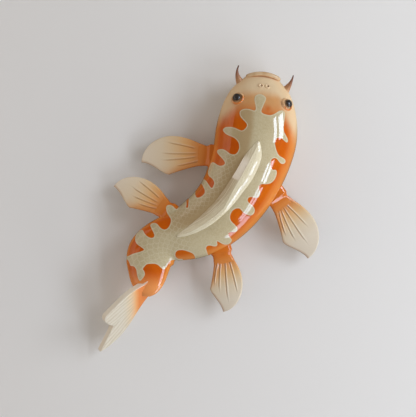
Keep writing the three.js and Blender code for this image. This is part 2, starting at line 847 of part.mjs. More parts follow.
function tailFrame() {
  const { right, tailward } = directionsAt(TAIL_STATION);
  const axis = tailward.clone().multiplyScalar(Math.cos(TAIL_SWING));
  axis.addScaledVector(right, -Math.sin(TAIL_SWING));
  const upward = right.clone().multiplyScalar(-Math.cos(TAIL_SWING));
  upward.addScaledVector(tailward, -Math.sin(TAIL_SWING));
  const nearEdge = upward.multiplyScalar(Math.cos(TAIL_ROLL));
  nearEdge.addScaledVector(OUT, Math.sin(TAIL_ROLL));
  const face = axis.clone().cross(nearEdge);
  return { origin: place(TAIL_STATION, 0, TAIL_HEIGHT), axis, nearEdge, face };
}

// The forked outline: a short rounded near lobe and a long pointed far one.
function tailOutline() {
  const shape = new THREE.Shape();
  shape.moveTo(-TAIL_ROOT_SINK, -TAIL_ROOT_FAR);
  shape.lineTo(0, -TAIL_ROOT_FAR);
  shape.bezierCurveTo(
    TAIL_FAR_BELLY * 0.35,
    -TAIL_ROOT_FAR,
    TAIL_FAR_BELLY * 0.65,
    -TAIL_FAR_HALF,
    TAIL_FAR_BELLY,
    -TAIL_FAR_HALF,
  );
  shape.quadraticCurveTo(
    lerp(TAIL_FAR_BELLY, TAIL_FAR_LENGTH, 0.6),
    -TAIL_FAR_HALF,
    TAIL_FAR_LENGTH,
    -TAIL_TIP_DROP,
  );
  shape.quadraticCurveTo(
    lerp(TAIL_FORK_LENGTH, TAIL_FAR_LENGTH, 0.5),
    lerp(-TAIL_FORK_DROP, -TAIL_TIP_DROP, 0.45),
    TAIL_FORK_LENGTH,
    -TAIL_FORK_DROP,
  );
  shape.quadraticCurveTo(
    TAIL_NEAR_LENGTH,
    0,
    TAIL_NEAR_LENGTH,
    TAIL_NEAR_HALF - TAIL_NEAR_ROUND,
  );
  shape.quadraticCurveTo(
    TAIL_NEAR_LENGTH,
    TAIL_NEAR_HALF,
    TAIL_NEAR_LENGTH - TAIL_NEAR_ROUND,
    TAIL_NEAR_HALF,
  );
  shape.lineTo(TAIL_NEAR_LENGTH * 0.5, TAIL_NEAR_HALF);
  shape.quadraticCurveTo(TAIL_NEAR_LENGTH * 0.25, TAIL_NEAR_HALF, 0, TAIL_ROOT_NEAR);
  shape.lineTo(-TAIL_ROOT_SINK, TAIL_ROOT_FAR);
  shape.closePath();
  return shape;
}

function tailSlab() {
  const slab = new THREE.ExtrudeGeometry(tailOutline(), {
    depth: TAIL_THICKNESS - 2 * TAIL_BEVEL,
    bevelThickness: TAIL_BEVEL,
    bevelSize: TAIL_BEVEL,
    bevelOffset: -TAIL_BEVEL,
    bevelSegments: 1,
    curveSegments: 7,
  });
  slab.translate(0, 0, TAIL_BEVEL - TAIL_THICKNESS / 2);
  const { origin, axis, nearEdge, face } = tailFrame();
  return setAt(slab, origin, axis, nearEdge, face);
}

function tailTongue(grow) {
  const { origin, axis, nearEdge, face } = tailFrame();
  const length = 2 * TAIL_TONGUE_LENGTH + grow;
  const bar = new THREE.BoxGeometry(
    length,
    2 * (TAIL_TONGUE_HALF + grow),
    TAIL_TONGUE_THICKNESS + 2 * grow,
  );
  bar.translate(TAIL_TONGUE_LENGTH - length / 2, 0, 0);
  return setAt(bar, origin, axis, nearEdge, face);
}

// Materials, with colours as they show on the fired pieces

function finish(color, roughness) {
  return new THREE.MeshStandardMaterial({ color, roughness, metalness: 0 });
}

const CREAM_GLAZE = finish(0xc9bd9c, 0.2);
const ORANGE_GLAZE = finish(0xcf6420, 0.25);
const BISQUE = finish(0xcab79c, 0.7);
const HEAD_BISQUE = finish(0xd0b48c, 0.5);
const BROWN_GLAZE = finish(0x7a4d35, 0.3);
const BLACK_GLASS = finish(0x0c0a0a, 0.05);
const RAW_CLAY = finish(0xb59f86, 0.85);
const FELT = finish(0x5c5750, 0.95);

const part = new THREE.Group();
part.name = "koi_wall_sculpture";

function addPiece(name, solid, material) {
  const mesh = new THREE.Mesh(geometryFrom(solid), material.clone());
  mesh.name = name;
  part.add(mesh);
}

// Assembly

const seat = bodyForm(GLUE_LINE);
const onBody = (solid) => solid.subtract(seat);
const SIDES = [
  ["left", -1],
  ["right", 1],
];

let shell = bodyForm(0).subtract(behindBack());
shell = shell.subtract(cavity()).subtract(plateRecess()).subtract(mouth());
shell = shell.subtract(dorsalRail(GLUE_LINE)).subtract(tailTongue(GLUE_LINE));

for (const fin of PAIRED_FINS) {
  shell = shell.subtract(finTongue(fin, GLUE_LINE));
  const blade = onBody(finBlade(fin, 0)).add(finTongue(fin, 0));
  const sleeve = onBody(finCuff(fin)).subtract(finBlade(fin, GLUE_LINE));
  addPiece(`${fin.name}_fin`, blade, BISQUE);
  addPiece(`${fin.name}_cuff`, sleeve.subtract(finTongue(fin, GLUE_LINE)), ORANGE_GLAZE);
}

for (const [name, side] of SIDES) {
  shell = shell.subtract(barbelPeg(side, GLUE_LINE));
  addPiece(`barbel_${name}`, onBody(barbelHorn(side)).add(barbelPeg(side, 0)), BROWN_GLAZE);
  addPiece(`eye_rim_${name}`, onBody(eyeRim(side)), HEAD_BISQUE);
  addPiece(`eye_${name}`, onBody(eye(side)), BLACK_GLASS);
  addPiece(`nostril_${name}`, onBody(nostril(side)), HEAD_BISQUE);
}

addPiece("body_shell", shell, CREAM_GLAZE);
addPiece("back_plate", backPlate(), RAW_CLAY);
addPiece("lip", onBody(lip()), HEAD_BISQUE);
addPiece("dorsal_fin", onBody(dorsalKeel()).add(dorsalRail(0)), CREAM_GLAZE);
addPiece("tail_fin", onBody(tailSlab()).add(tailTongue(0)), BISQUE);
addPiece("wall_pad_head", wallPad(PAD_HEAD_STATION, 0), FELT);
for (const [name, side] of SIDES) {
  addPiece(`wall_pad_${name}`, wallPad(PAD_SIDE_STATION, side * PAD_SIDE_ACROSS), FELT);
}

part.position.set(-upperSeat.x, 0, -upperSeat.z);

export default part;
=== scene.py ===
"""Looks of a koi wall sculpture in glazed stoneware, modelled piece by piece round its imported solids.

Lengths in the classes are millimetres. The wall is the plane y = 0 and the fish stands out towards -Y.
Along the fish a place is a station on the spine, a distance across it and a height above the wall.
"""
import logging
import math
from dataclasses import dataclass, field
from enum import Enum
from typing import Any, Callable, Sequence

import bpy
import numpy as np
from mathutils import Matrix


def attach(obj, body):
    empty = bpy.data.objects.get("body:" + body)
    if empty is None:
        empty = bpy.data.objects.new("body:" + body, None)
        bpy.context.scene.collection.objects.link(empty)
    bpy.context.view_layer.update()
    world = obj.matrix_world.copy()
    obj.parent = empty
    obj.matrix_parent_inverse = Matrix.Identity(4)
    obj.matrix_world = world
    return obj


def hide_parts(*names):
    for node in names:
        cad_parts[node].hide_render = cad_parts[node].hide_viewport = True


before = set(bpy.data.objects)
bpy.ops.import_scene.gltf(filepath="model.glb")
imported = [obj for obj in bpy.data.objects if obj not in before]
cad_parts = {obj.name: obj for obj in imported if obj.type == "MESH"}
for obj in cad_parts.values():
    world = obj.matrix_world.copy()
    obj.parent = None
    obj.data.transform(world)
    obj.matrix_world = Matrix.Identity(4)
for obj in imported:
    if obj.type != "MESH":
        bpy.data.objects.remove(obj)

LOG = logging.getLogger("koi")
MM = 0.001
TAU = 2 * math.pi
OUT = np.array([0.0, -1.0, 0.0])
TINY = 1e-9

Array = np.ndarray
Piece = bpy.types.Object
Material = bpy.types.Material
Socket = bpy.types.NodeSocket
Colour = tuple[float, float, float, float]
Shades = tuple[tuple[float, Colour], ...]
Pair = tuple[float, float]
Outline = tuple[Pair, ...]
Shape = Callable[[Array, Array], Array]


class Side(Enum):
    """The two flanks, as the viewer sees them."""

    LEFT = -1
    RIGHT = 1

    @property
    def label(self) -> str:
        """The word that node names use."""
        return self.name.lower()


def srgb(red: float, green: float, blue: float) -> Colour:
    """Turns a colour as it is seen on a screen into the linear one that shaders use.

    Args:
        red: Red from 0 to 255.
        green: Green from 0 to 255.
        blue: Blue from 0 to 255.

    Returns:
        The linear colour with full opacity.
    """
    linear = []
    for channel in (red, green, blue):
        share = channel / 255
        linear.append(share / 12.92 if share <= 0.04045 else ((share + 0.055) / 1.055) ** 2.4)
    return (linear[0], linear[1], linear[2], 1.0)


def smooth(low: float, high: float, value: Array) -> Array:
    """A soft step from 0 at the low end to 1 at the high end."""
    share = np.clip((value - low) / (high - low), 0, 1)
    return share * share * (3 - 2 * share)


def mix(start: Any, end: Any, share: Any) -> Any:
    """Goes from one value to another by a share."""
    return start + (end - start) * share


def eased(share: Array) -> Array:
    """A share of a way that starts and ends slowly."""
    return 0.5 - 0.5 * np.cos(np.clip(share, 0, 1) * math.pi)


def quarter_round(share: Array) -> Array:
    """The height of a quarter circle at shares of its way in, from 0 at its rim to 1."""
    return np.sqrt(np.clip(1 - (1 - np.clip(share, 0, 1)) ** 2, 0, 1))


def rounded_run(points: Array, steps: int, closed: bool = False) -> Array:
    """A smooth line through points, which bends no further than they do.

    Args:
        points: The points, one in each row.
        steps: Points on the line from one given point to the next.
        closed: Whether the line goes round to its start.

    Returns:
        The points of the line, in rows.
    """
    if closed:
        ring = np.vstack([points[-1], points, points[0], points[1]])
    else:
        ring = np.vstack([2 * points[0] - points[1], points, 2 * points[-1] - points[-2]])
    share = np.linspace(0, 1, steps, endpoint=False)[:, None]
    line = []
    for before, start, end, after in zip(ring, ring[1:], ring[2:], ring[3:]):
        lead = np.linalg.norm(start - before) ** 0.5
        span = np.linalg.norm(end - start) ** 0.5
        trail = np.linalg.norm(after - end) ** 0.5
        leave = (start - before) / lead - (end - before) / (lead + span) + (end - start) / span
        reach = (end - start) / span - (after - start) / (span + trail) + (after - end) / trail
        leave, reach = leave * span, reach * span
        cubic = 2 * start - 2 * end + leave + reach
        square = -3 * start + 3 * end - 2 * leave - reach
        line.append(start + leave * share + square * share**2 + cubic * share**3)
    if not closed:
        line.append(points[-1:])
    return np.vstack(line)


def walked(line: Array) -> Array:
    """The share of a line's length that is behind each of its points."""
    steps = np.linalg.norm(np.diff(line, axis=0), axis=1)
    return np.concatenate([[0], np.cumsum(steps)]) / steps.sum()


def columns_at(where: Array, places: Array, rows: Array) -> Array:
    """The columns of a table of numbers, read between its places."""
    return np.stack([np.interp(where, places, column) for column in rows.T])


def gap_to_line(spots: Array, line: Array) -> Array:
    """How far spots in a plane are from a line.

    Args:
        spots: The spots, in rows.
        line: The line's points, in rows.

    Returns:
        The distances.
    """
    gap = np.full(len(spots), np.inf)
    for start, end in zip(line, line[1:]):
        span = end - start
        share = np.clip((spots - start) @ span / max(float(span @ span), TINY), 0, 1)
        gap = np.minimum(gap, np.linalg.norm(spots - start - share[:, None] * span, axis=1))
    return gap


@dataclass(frozen=True)
class Spine:
    """The line that the fish bends along, from the snout to the tail."""

    tilt: float = math.radians(5.6)
    seat_station: float = 72.0
    runs: Outline = (
        (61.0, 0.0),
        (163 * math.radians(27.4), 1 / 163),
        (106 * math.radians(45), 1 / 106),
        (34 * math.radians(73.6), -1 / 34),
        (math.inf, 0.0),
    )
    search: tuple[float, float, float] = (-10.0, 345.0, 0.5)
    batch: int = 4000

    def walk(self, station: Any) -> tuple[Array, Array, Array]:
        """Follows the spine from the snout.

        Args:
            station: Distances from the snout.

        Returns:
            The points' x and z, and the heading from straight down towards the left.
        """
        left = np.array(station, dtype=float)
        x, z, heading = np.zeros_like(left), np.zeros_like(left), np.full_like(left, self.tilt)
        for length, bend in self.runs:
            step = np.minimum(left, length)
            turned = heading + step * bend
            if bend == 0:
                x, z = x - step * np.sin(heading), z - step * np.cos(heading)
            else:
                x = x + (np.cos(turned) - np.cos(heading)) / bend
                z = z - (np.sin(turned) - np.sin(heading)) / bend
            heading, left = turned, left - step
        return x, z, heading

    def place(self, station: Any, across: Any, height: Any) -> Array:
        """The point at a station, a distance across and a height above the wall.

        Args:
            station: Distance along the spine.
            across: Distance to the viewer's right of it.
            height: Distance from the wall.

        Returns:
            Points with x, y and z in the last place.
        """
        station, across, height = np.broadcast_arrays(station, across, height)
        x, z, heading = self.walk(station)
        seat_x, seat_z, _ = self.walk(self.seat_station)
        return np.stack(
            [x + across * np.cos(heading) - seat_x, -1.0 * height, z - across * np.sin(heading) - seat_z],
            axis=-1,
        )

    def right(self, station: float) -> Array:
        """The direction across the spine to the viewer's right."""
        heading = float(self.walk(station)[2])
        return np.array([math.cos(heading), 0.0, -math.sin(heading)])

    def tailward(self, station: float) -> Array:
        """The direction along the spine to the tail."""
        heading = float(self.walk(station)[2])
        return np.array([-math.sin(heading), 0.0, -math.cos(heading)])

    def locate(self, points: Array) -> tuple[Array, Array]:
        """Finds where points stand along the spine.

        Args:
            points: Points in rows.

        Returns:
            The station of each and its distance across.
        """
        stations = np.arange(*self.search)
        line = self.place(stations, 0, 0)
        nearest = np.empty(len(points), dtype=int)
        for start in range(0, len(points), self.batch):
            part = points[start : start + self.batch]
            gaps = (part[:, :1] - line[:, 0]) ** 2 + (part[:, 2:] - line[:, 2]) ** 2
            nearest[start : start + self.batch] = np.argmin(gaps, axis=1)
        station = stations[nearest]
        _, _, heading = self.walk(station)
        offset = points - line[nearest]
        across = offset[:, 0] * np.cos(heading) - offset[:, 2] * np.sin(heading)
        along = -offset[:, 0] * np.sin(heading) - offset[:, 2] * np.cos(heading)
        return station + along, across


SPINE = Spine()


@dataclass(frozen=True)
class PhotoView:
    """The place that the fish is seen from, and the picture's frame."""

    width: float = 416.0
    height: float = 417.0
    pixel: float = 1.1
    distance: float = 1300.0
    depth: float = 28.0
    snout: Pair = (262.4, 74.0)
    sensor: float = 36.0

    @property
    def aim(self) -> Array:
        """The point in the middle of the picture.

        Returns:
            The point, in millimetres.
        """
        tip = SPINE.place(0.0, 0.0, self.depth)
        shift = np.array([self.width / 2 - self.snout[0], 0.0, self.snout[1] - self.height / 2])
        return tip + shift * self.pixel

    @property
    def eye(self) -> Array:
        """The camera's place."""
        return self.aim + OUT * self.distance

    @property
    def lens(self) -> float:
        """The camera's focal length."""
        return self.sensor * self.distance / (self.height * self.pixel)

    def project(self, points: Array) -> Array:
        """Finds where points show in the picture.

        Args:
            points: Points in rows.

        Returns:
            Their pixels, from the left and from the top.
        """
        offset = points - self.eye
        scale = self.distance / self.pixel / offset[:, 1]
        return np.stack(
            [self.width / 2 + offset[:, 0] * scale, self.height / 2 - offset[:, 2] * scale], axis=1
        )


VIEW = PhotoView()


@dataclass(frozen=True)
class Saddle:
    """The patch of cream glaze along the back, with lobes that run into the orange.

    The outline goes round it clockwise as it shows in the picture, in the picture's pixels.
    """

    forehead: Outline = (
        (255, 110.6), (255.7, 107.2), (254.3, 99.3), (255.4, 95.8), (259.5, 94), (264, 95.5),
        (266.2, 98.5), (263.7, 105), (261.4, 111.5), (263, 113.4), (266, 114.4), (270, 115.1),
        (273.5, 114.3), (276.8, 112.3),
    )
    right_edge: Outline = (
        (279, 110.9), (282, 110.3), (284.6, 111.8), (284.6, 120), (283.6, 129.5), (284.7, 133),
        (287.9, 139.5), (287.9, 141.8), (286.5, 142.6), (283, 139.6), (281.2, 137.9), (278.8, 137.6),
        (276.4, 138.6), (275.1, 141.2), (275.2, 145.2), (277.8, 153.6), (280, 156.2), (282.6, 157.6),
        (285, 159.6), (285.5, 161.6), (284.4, 163.5), (282.3, 164), (280, 162.8), (276.6, 158.7),
        (274.8, 158), (272.7, 158.7), (271.2, 160.6), (270.9, 166.4), (272, 169), (273.6, 169.9),
        (275.4, 169.7), (276.7, 171.2), (276.7, 174), (275.7, 177.4), (273.6, 180.9), (271, 183),
        (268, 184), (261.4, 184.3), (259.5, 185.7), (259, 187.8), (260.2, 192), (260, 194.5),
        (259, 196.6), (257.4, 197.7), (255, 197.8), (250.2, 197), (248.3, 198.1), (247.6, 200.3),
        (248.6, 202.5), (250.6, 204), (253.4, 206.6), (254.8, 209.6), (254.5, 212.2), (253, 214.5),
        (250.6, 215.6), (247.6, 215), (242.8, 212), (239.8, 208.7), (238, 208.3), (235, 209),
        (232.3, 211.1), (230.6, 214.2), (230.1, 217.4), (230.7, 220.2), (232.4, 222.5), (237, 227.2),
        (237.5, 229.4), (236.8, 231.2), (234.6, 232.2), (231.7, 232.1), (229.2, 232.8), (228.4, 234.4),
        (228.9, 236), (231.5, 239), (231.7, 240.8), (230.8, 242.5), (229, 244), (226.8, 244.7),
        (223.7, 244.5), (218.9, 242), (217, 241.2), (217.4, 244.7), (216.4, 246.2), (214.5, 246.5),
        (209.3, 245.5), (207, 246.3), (206.1, 248.2), (206.8, 251.3), (208.5, 258.5), (196, 260.5),
    )
    lower_edge: Outline = (
        (195.1, 257.5), (193.3, 254.1), (190.6, 252.6), (183.6, 250.3), (180.4, 250.2), (177.8, 250.6),
        (176, 252.2), (175.3, 254.2), (175.4, 255.9), (176.6, 257.6), (178.4, 258.8), (183, 259.2),
        (182, 261.5), (176, 260.3), (173, 260), (170.6, 260.9), (168.7, 262.8), (165.6, 268.2),
        (163.9, 269.7), (161.8, 268.6), (157.6, 264.8), (154.5, 263.8), (150.7, 263.8), (146.8, 264.4),
        (144.5, 266.7), (143, 269), (144.2, 271), (144.9, 274), (144.2, 276.3), (140.1, 281),
        (138.8, 280), (137.5, 277), (136.1, 269.7), (134.6, 267.1), (132.7, 266), (130.7, 265.9),
        (129.2, 262.5), (127.7, 259.8), (123, 259), (123, 256.5),
    )
    left_edge: Outline = (
        (127.3, 256.3), (132.3, 254), (141.1, 251.3), (143.9, 249.8), (141.1, 247.1), (138.4, 245.2),
        (136.1, 242.9), (135.2, 240), (135.3, 237), (136.2, 234), (138.5, 231.7), (141.5, 229.8),
        (143.4, 231), (144.5, 233.3), (146.5, 235.6), (148.8, 237.1), (151.8, 237.9), (154, 236.8),
        (154.1, 234.1), (151.1, 227.9), (150.3, 225.6), (150.8, 224), (152.7, 223), (155.3, 223),
        (157.2, 224), (160.3, 227.6), (162.6, 229.1), (165.2, 229.5), (167.9, 227.9), (169.8, 224.9),
        (170.8, 221.4), (170.6, 218.7), (167.5, 213.8), (166.4, 210.7), (166, 207.6), (166.9, 205.7),
        (169.1, 204.8), (171, 205.1), (172.9, 206.1), (176.4, 209.2), (178.3, 207.4), (179.5, 203),
        (184.5, 199), (186.2, 201), (186.6, 204.2), (186.1, 207.2), (187.1, 208), (188.1, 206.5),
        (188.4, 202.6), (189.5, 195), (193, 190), (195.3, 191.5), (195.2, 194.5), (197, 197.5),
        (200.5, 196.8), (204.2, 193.7), (204.8, 191), (203.9, 188.3), (201.8, 184.1), (200, 182.5),
        (202, 179), (205.1, 179.9), (210.5, 187.1), (211.7, 188.1), (213.5, 185.6), (214.1, 182.6),
        (212.9, 179.6), (208.4, 175.2), (208, 172), (208.8, 168.4), (210, 165), (211.3, 162.9),
        (213.2, 162.3), (219, 165.5), (221.6, 165.6), (224, 164.7), (224.9, 162.9), (223.6, 160.3),
        (218.6, 154.7), (217.2, 152.4), (217.3, 150.5), (219.2, 149.3), (222.1, 149.1), (224.9, 149.9),
        (229.7, 153.4), (232.2, 154.3), (235.1, 154.3), (237.3, 152.4), (238.6, 149.6), (239, 145.8),
        (238.2, 142.3), (236, 139.5), (233.5, 137.6), (226.5, 134.4), (224, 132.2), (222.9, 130.1),
        (223.7, 128.4), (225.9, 127.1), (229.7, 126.8), (233.5, 127.3), (239.5, 129.8), (242, 130.5),
        (244.3, 129.3), (246.2, 127.1), (246.8, 124.9), (245.5, 122.4), (240.5, 117), (239.5, 114.1),
        (239.7, 111.6), (241.7, 109.7), (244.9, 108.7), (248.7, 108.9), (252.2, 109.8),
    )
    steps: int = 4

    def depth(self, points: Array) -> Array:
        """How far points lie inside the patch, as they are seen.

        Args:
            points: Points in rows, in millimetres.

        Returns:
            Millimetres from the outline, negative outside the patch.
        """
        corners = np.array(self.forehead + self.right_edge + self.lower_edge + self.left_edge)
        ring = rounded_run(corners, self.steps, closed=True)
        ring = np.vstack([ring, ring[:1]])
        seen = VIEW.project(points)
        across, down = seen.T
        inside = np.zeros(len(seen), dtype=bool)
        for (start_across, start_down), (end_across, end_down) in zip(ring, ring[1:]):
            if start_down != end_down:
                share = (down - start_down) / (end_down - start_down)
                is_beside = across < mix(start_across, end_across, share)
                inside ^= is_beside & ((start_down > down) != (end_down > down))
        gap = gap_to_line(seen, ring)
        return np.where(inside, gap, -gap) * VIEW.pixel


SADDLE = Saddle()


@dataclass(frozen=True)
class BodyForm:
    """The body's swelling and tapering sections along the spine."""

    sections: tuple[tuple[float, float, float], ...] = (
        (2, 8, 32), (3, 14, 34.5), (5, 18.5, 37), (9, 22.5, 39.5), (14, 27.5, 42), (21, 33, 46),
        (38, 40.2, 54), (65, 45, 61.5), (104, 42.4, 63), (148, 37.7, 59), (192, 32.7, 52),
        (231, 25.2, 45), (254, 26.7, 41), (272, 22.6, 37.5), (288, 17, 34), (297, 10, 31),
        (300.5, 4, 28),
    )
    girth_height: float = 27.0
    flat_height: float = 2.3
    steps: int = 60

    def line(self) -> Array:
        """Close sections in rows: station, half width and height of the back."""
        return rounded_run(np.array(self.sections, dtype=float), self.steps)

    def half(self, station: Any) -> Array:
        """The half width at a station."""
        line = self.line()
        return np.interp(station, line[:, 0], line[:, 1])

    def back(self, station: Any) -> Array:
        """The height of the back above the wall at a station."""
        line = self.line()
        return np.interp(station, line[:, 0], line[:, 2])

    def surface(self, station: Any, across: Any) -> Array:
        """The height of the body's front above the wall at a station and a distance across."""
        share = np.clip(across / self.half(station), -1, 1)
        return self.girth_height + (self.back(station) - self.girth_height) * np.sqrt(1 - share**2)

    def skin(self, around: Array, along: Array) -> Array:
        """The body's surface, cut flat towards the wall.

        Args:
            around: Shares of the way round, from the right flank over the back.
            along: Shares of the way from the snout to the tail.

        Returns:
            The points of the surface.
        """
        line = self.line()
        station, half, back = columns_at(along, walked(line), line)
        angle = TAU * around
        lift = np.sin(angle)
        reach = np.where(lift > 0, back - self.girth_height, half)
        height = np.maximum(self.girth_height + reach * lift, self.flat_height)
        return SPINE.place(station, half * np.cos(angle), height)


FORM = BodyForm()


class Bench:
    """The modelling bench: pieces are started from primitives and shaped in edit mode."""

    WELD = 1e-4
    SLAB_EDGE = 0.02

    @staticmethod
    def keep_only(piece: Piece) -> None:
        """Leaves one object selected and active.

        Args:
            piece: The object.
        """
        bpy.ops.object.select_all(action="DESELECT")
        piece.select_set(True)
        bpy.context.view_layer.objects.active = piece

    @staticmethod
    def read(piece: Piece, what: str) -> Array:
        """Reads a vector at each corner of a mesh.

        Args:
            piece: The mesh's object.
            what: Blender's name for the vector.

        Returns:
            The vectors, in rows.
        """
        flat = np.empty(len(piece.data.vertices) * 3)
        piece.data.vertices.foreach_get(what, flat)
        return flat.reshape(-1, 3)

    @classmethod
    def points(cls, piece: Piece) -> Array:
        """The corners of a mesh in millimetres, in rows."""
        return cls.read(piece, "co") / MM

    @classmethod
    def normals(cls, piece: Piece) -> Array:
        """The directions that the corners of a mesh face, in rows."""
        return cls.read(piece, "normal")

    @staticmethod
    def move(piece: Piece, points: Array) -> None:
        """Puts the corners of a mesh at points in millimetres."""
        piece.data.vertices.foreach_set("co", (points * MM).ravel())
        piece.data.update()

    @classmethod
    def loft(cls, name: str, shape: Shape, sides: int, rings: int) -> Piece:
        """Wraps a grid into a closed skin.

        Args:
            name: The piece's name.
            shape: Gives points for shares of the way round and along.
            sides: Faces round the skin.
            rings: Faces along it.

        Returns:
            The new piece, with its seam merged and its ends filled.
        """
        bpy.ops.object.select_all(action="DESELECT")
        bpy.ops.mesh.primitive_grid_add(x_subdivisions=sides, y_subdivisions=rings, size=1.0)
        piece = bpy.context.active_object
        piece.name = piece.data.name = name
        grid = cls.points(piece) * MM
        cls.move(piece, shape(grid[:, 0] + 0.5, grid[:, 1] + 0.5))
        bpy.ops.object.mode_set(mode="EDIT")
        bpy.ops.mesh.select_all(action="SELECT")
        bpy.ops.mesh.remove_doubles(threshold=cls.WELD * MM)
        bpy.ops.mesh.fill_holes(sides=0)
        bpy.ops.mesh.select_all(action="SELECT")
        bpy.ops.mesh.normals_make_consistent(inside=False)
        bpy.ops.object.mode_set(mode="OBJECT")
        bpy.ops.object.shade_smooth()
        return piece

    @classmethod
    def cut(cls, piece: Piece, tool: Piece) -> None:
        """Cuts one solid out of a piece and takes the cutter away.

        Args:
            piece: The piece to cut.
            tool: The solid that is cut out.
        """
        cls.keep_only(piece)
        cutter = piece.modifiers.new("cut", "BOOLEAN")
        cutter.operation = "DIFFERENCE"
        cutter.solver = "EXACT"
        cutter.object = tool
        bpy.ops.object.modifier_apply(modifier="cut")
        bpy.data.objects.remove(tool, do_unlink=True)

    @classmethod
    def slab(cls, around: Array) -> tuple[Array, Array]:
        """Goes round the section of a slab: its front, one edge, its rear and the other edge.

        Args:
            around: Shares of the way round.

        Returns:
            The share of the way across the slab, and the side of its middle from 1 to -1.
        """
        wall = cls.SLAB_EDGE
        face = 0.5 - wall
        whole = np.ones_like(around)
        parts = [around < face, around < 0.5, around < 0.5 + face]
        share = np.select(parts, [eased(around / face), whole, 1 - eased((around - 0.5) / face)], 0.0)
        fall, climb = 1 - 2 * (around - face) / wall, (around - 1) * 2 / wall + 1
        return share, np.select(parts, [whole, fall, -whole], climb)

    @staticmethod
    def note(piece: Piece, name: str, values: Array) -> None:
        """Stores a number at each corner of a mesh, for its finish to read."""
        layer = piece.data.attributes.new(name, "FLOAT", "POINT")
        layer.data.foreach_set("value", np.asarray(values, dtype=np.float32))


def math_operator(operation: str, is_reflected: bool = False) -> Callable[["Value", Any], "Value"]:
    """Makes an arithmetic operator of wrapped numbers.

    Args:
        operation: The Math node's operation.
        is_reflected: Whether the other number stands first.

    Returns:
        The method for the operator.
    """

    def apply(value: "Value", other: Any) -> "Value":
        """Adds the Math node."""
        pair = (other, value) if is_reflected else (value, other)
        return value.graph.math(operation, *pair)

    return apply


class Value:
    """A number on a socket: arithmetic with it adds Math nodes."""

    __add__ = math_operator("ADD")
    __radd__ = math_operator("ADD", True)
    __sub__ = math_operator("SUBTRACT")
    __rsub__ = math_operator("SUBTRACT", True)
    __mul__ = math_operator("MULTIPLY")
    __rmul__ = math_operator("MULTIPLY", True)
    __truediv__ = math_operator("DIVIDE")
    __rtruediv__ = math_operator("DIVIDE", True)
    __pow__ = math_operator("POWER")
    __rpow__ = math_operator("POWER", True)

    def __init__(self, graph: "Graph", socket: Socket) -> None:
        """Wraps an output socket of a graph."""
        self.graph = graph
        self.socket = socket

    def math(self, operation: str, *others: Any) -> "Value":
        """Adds a Math node that starts from this number."""
        return self.graph.math(operation, self, *others)

    def step(self, low: float, high: float) -> "Value":
        """A soft step from 0 at the low end to 1 at the high end.

        Args:
            low: Where the step starts.
            high: Where it ends; below the low end, the step falls.

        Returns:
            The graded number.
        """
        if low > high:
            return 1 - self.step(high, low)
        node = self.graph.node(
            "ShaderNodeMapRange",
            {"interpolation_type": "SMOOTHSTEP"},
            {"Value": self, "From Min": low, "From Max": high},
        )
        return Value(self.graph, node.outputs["Result"])


class Graph:
    """A tree of nodes that are added, set and linked in one way."""

    def __init__(self, tree: bpy.types.NodeTree) -> None:
        """Starts from a tree and empties it."""
        self.tree = tree
        tree.nodes.clear()

    def node(self, kind: str, settings: dict[str, Any], sockets: dict[Any, Any]) -> bpy.types.Node:
        """Adds a node.

        Args:
            kind: The node's type.
            settings: Its own settings, set first; "stops" are a ramp's places and colours.
            sockets: Values or links of its inputs, by name or number.

        Returns:
            The node.
        """
        node = self.tree.nodes.new(kind)
        for key, setting in settings.items():
            if key == "stops":
                ramp = node.color_ramp.elements
                while len(ramp) < len(setting):
                    ramp.new(0.5)
                for element, (place, colour) in zip(ramp, setting):
                    element.position, element.color = place, colour
            else:
                setattr(node, key, setting)
        for key, value in sockets.items():
            self.feed(node.inputs[key], value)
        return node

    def feed(self, socket: Socket, value: Any) -> None:
        """Links a socket or a wrapped number to an input, or sets a plain value there.

        Args:
            socket: The input.
            value: What it gets.
        """
        source = value.socket if isinstance(value, Value) else value
        if isinstance(source, Socket):
            self.tree.links.new(source, socket)
        else:
            socket.default_value = source

    def math(self, operation: str, *values: Any) -> Value:
        """The result of a Math node on numbers or wrapped sockets."""
        node = self.node("ShaderNodeMath", {"operation": operation}, dict(enumerate(values)))
        return Value(self, node.outputs[0])

    def noted(self, name: str) -> Value:
        """A number stored at the corners of the mesh."""
        node = self.node("ShaderNodeAttribute", {"attribute_type": "GEOMETRY", "attribute_name": name}, {})
        return Value(self, node.outputs["Fac"])

    def place(self) -> Socket:
        """The object's own coordinates, in metres."""
        return self.node("ShaderNodeTexCoord", {}, {}).outputs["Object"]

    def joined(self, x: Any, y: Any, z: Any) -> Socket:
        """Three numbers made into a vector."""
        return self.node("ShaderNodeCombineXYZ", {}, {0: x, 1: y, 2: z}).outputs[0]

    def noise(self, at: Socket, scale: float, detail: float = 2.0, rough: float = 0.5) -> Value:
        """A cloudy number about 0.5, with finer clouds of some roughness in it."""
        sockets = {"Vector": at, "Scale": scale, "Detail": detail, "Roughness": rough}
        return Value(self, self.node("ShaderNodeTexNoise", {}, sockets).outputs["Fac"])

    def blend(self, share: Any, low: Any, high: Any) -> Socket:
        """Mixes two colours, with a share of the second one."""
        settings = {"data_type": "RGBA", "clamp_factor": True}
        return self.node("ShaderNodeMix", settings, {0: share, 6: low, 7: high}).outputs[2]


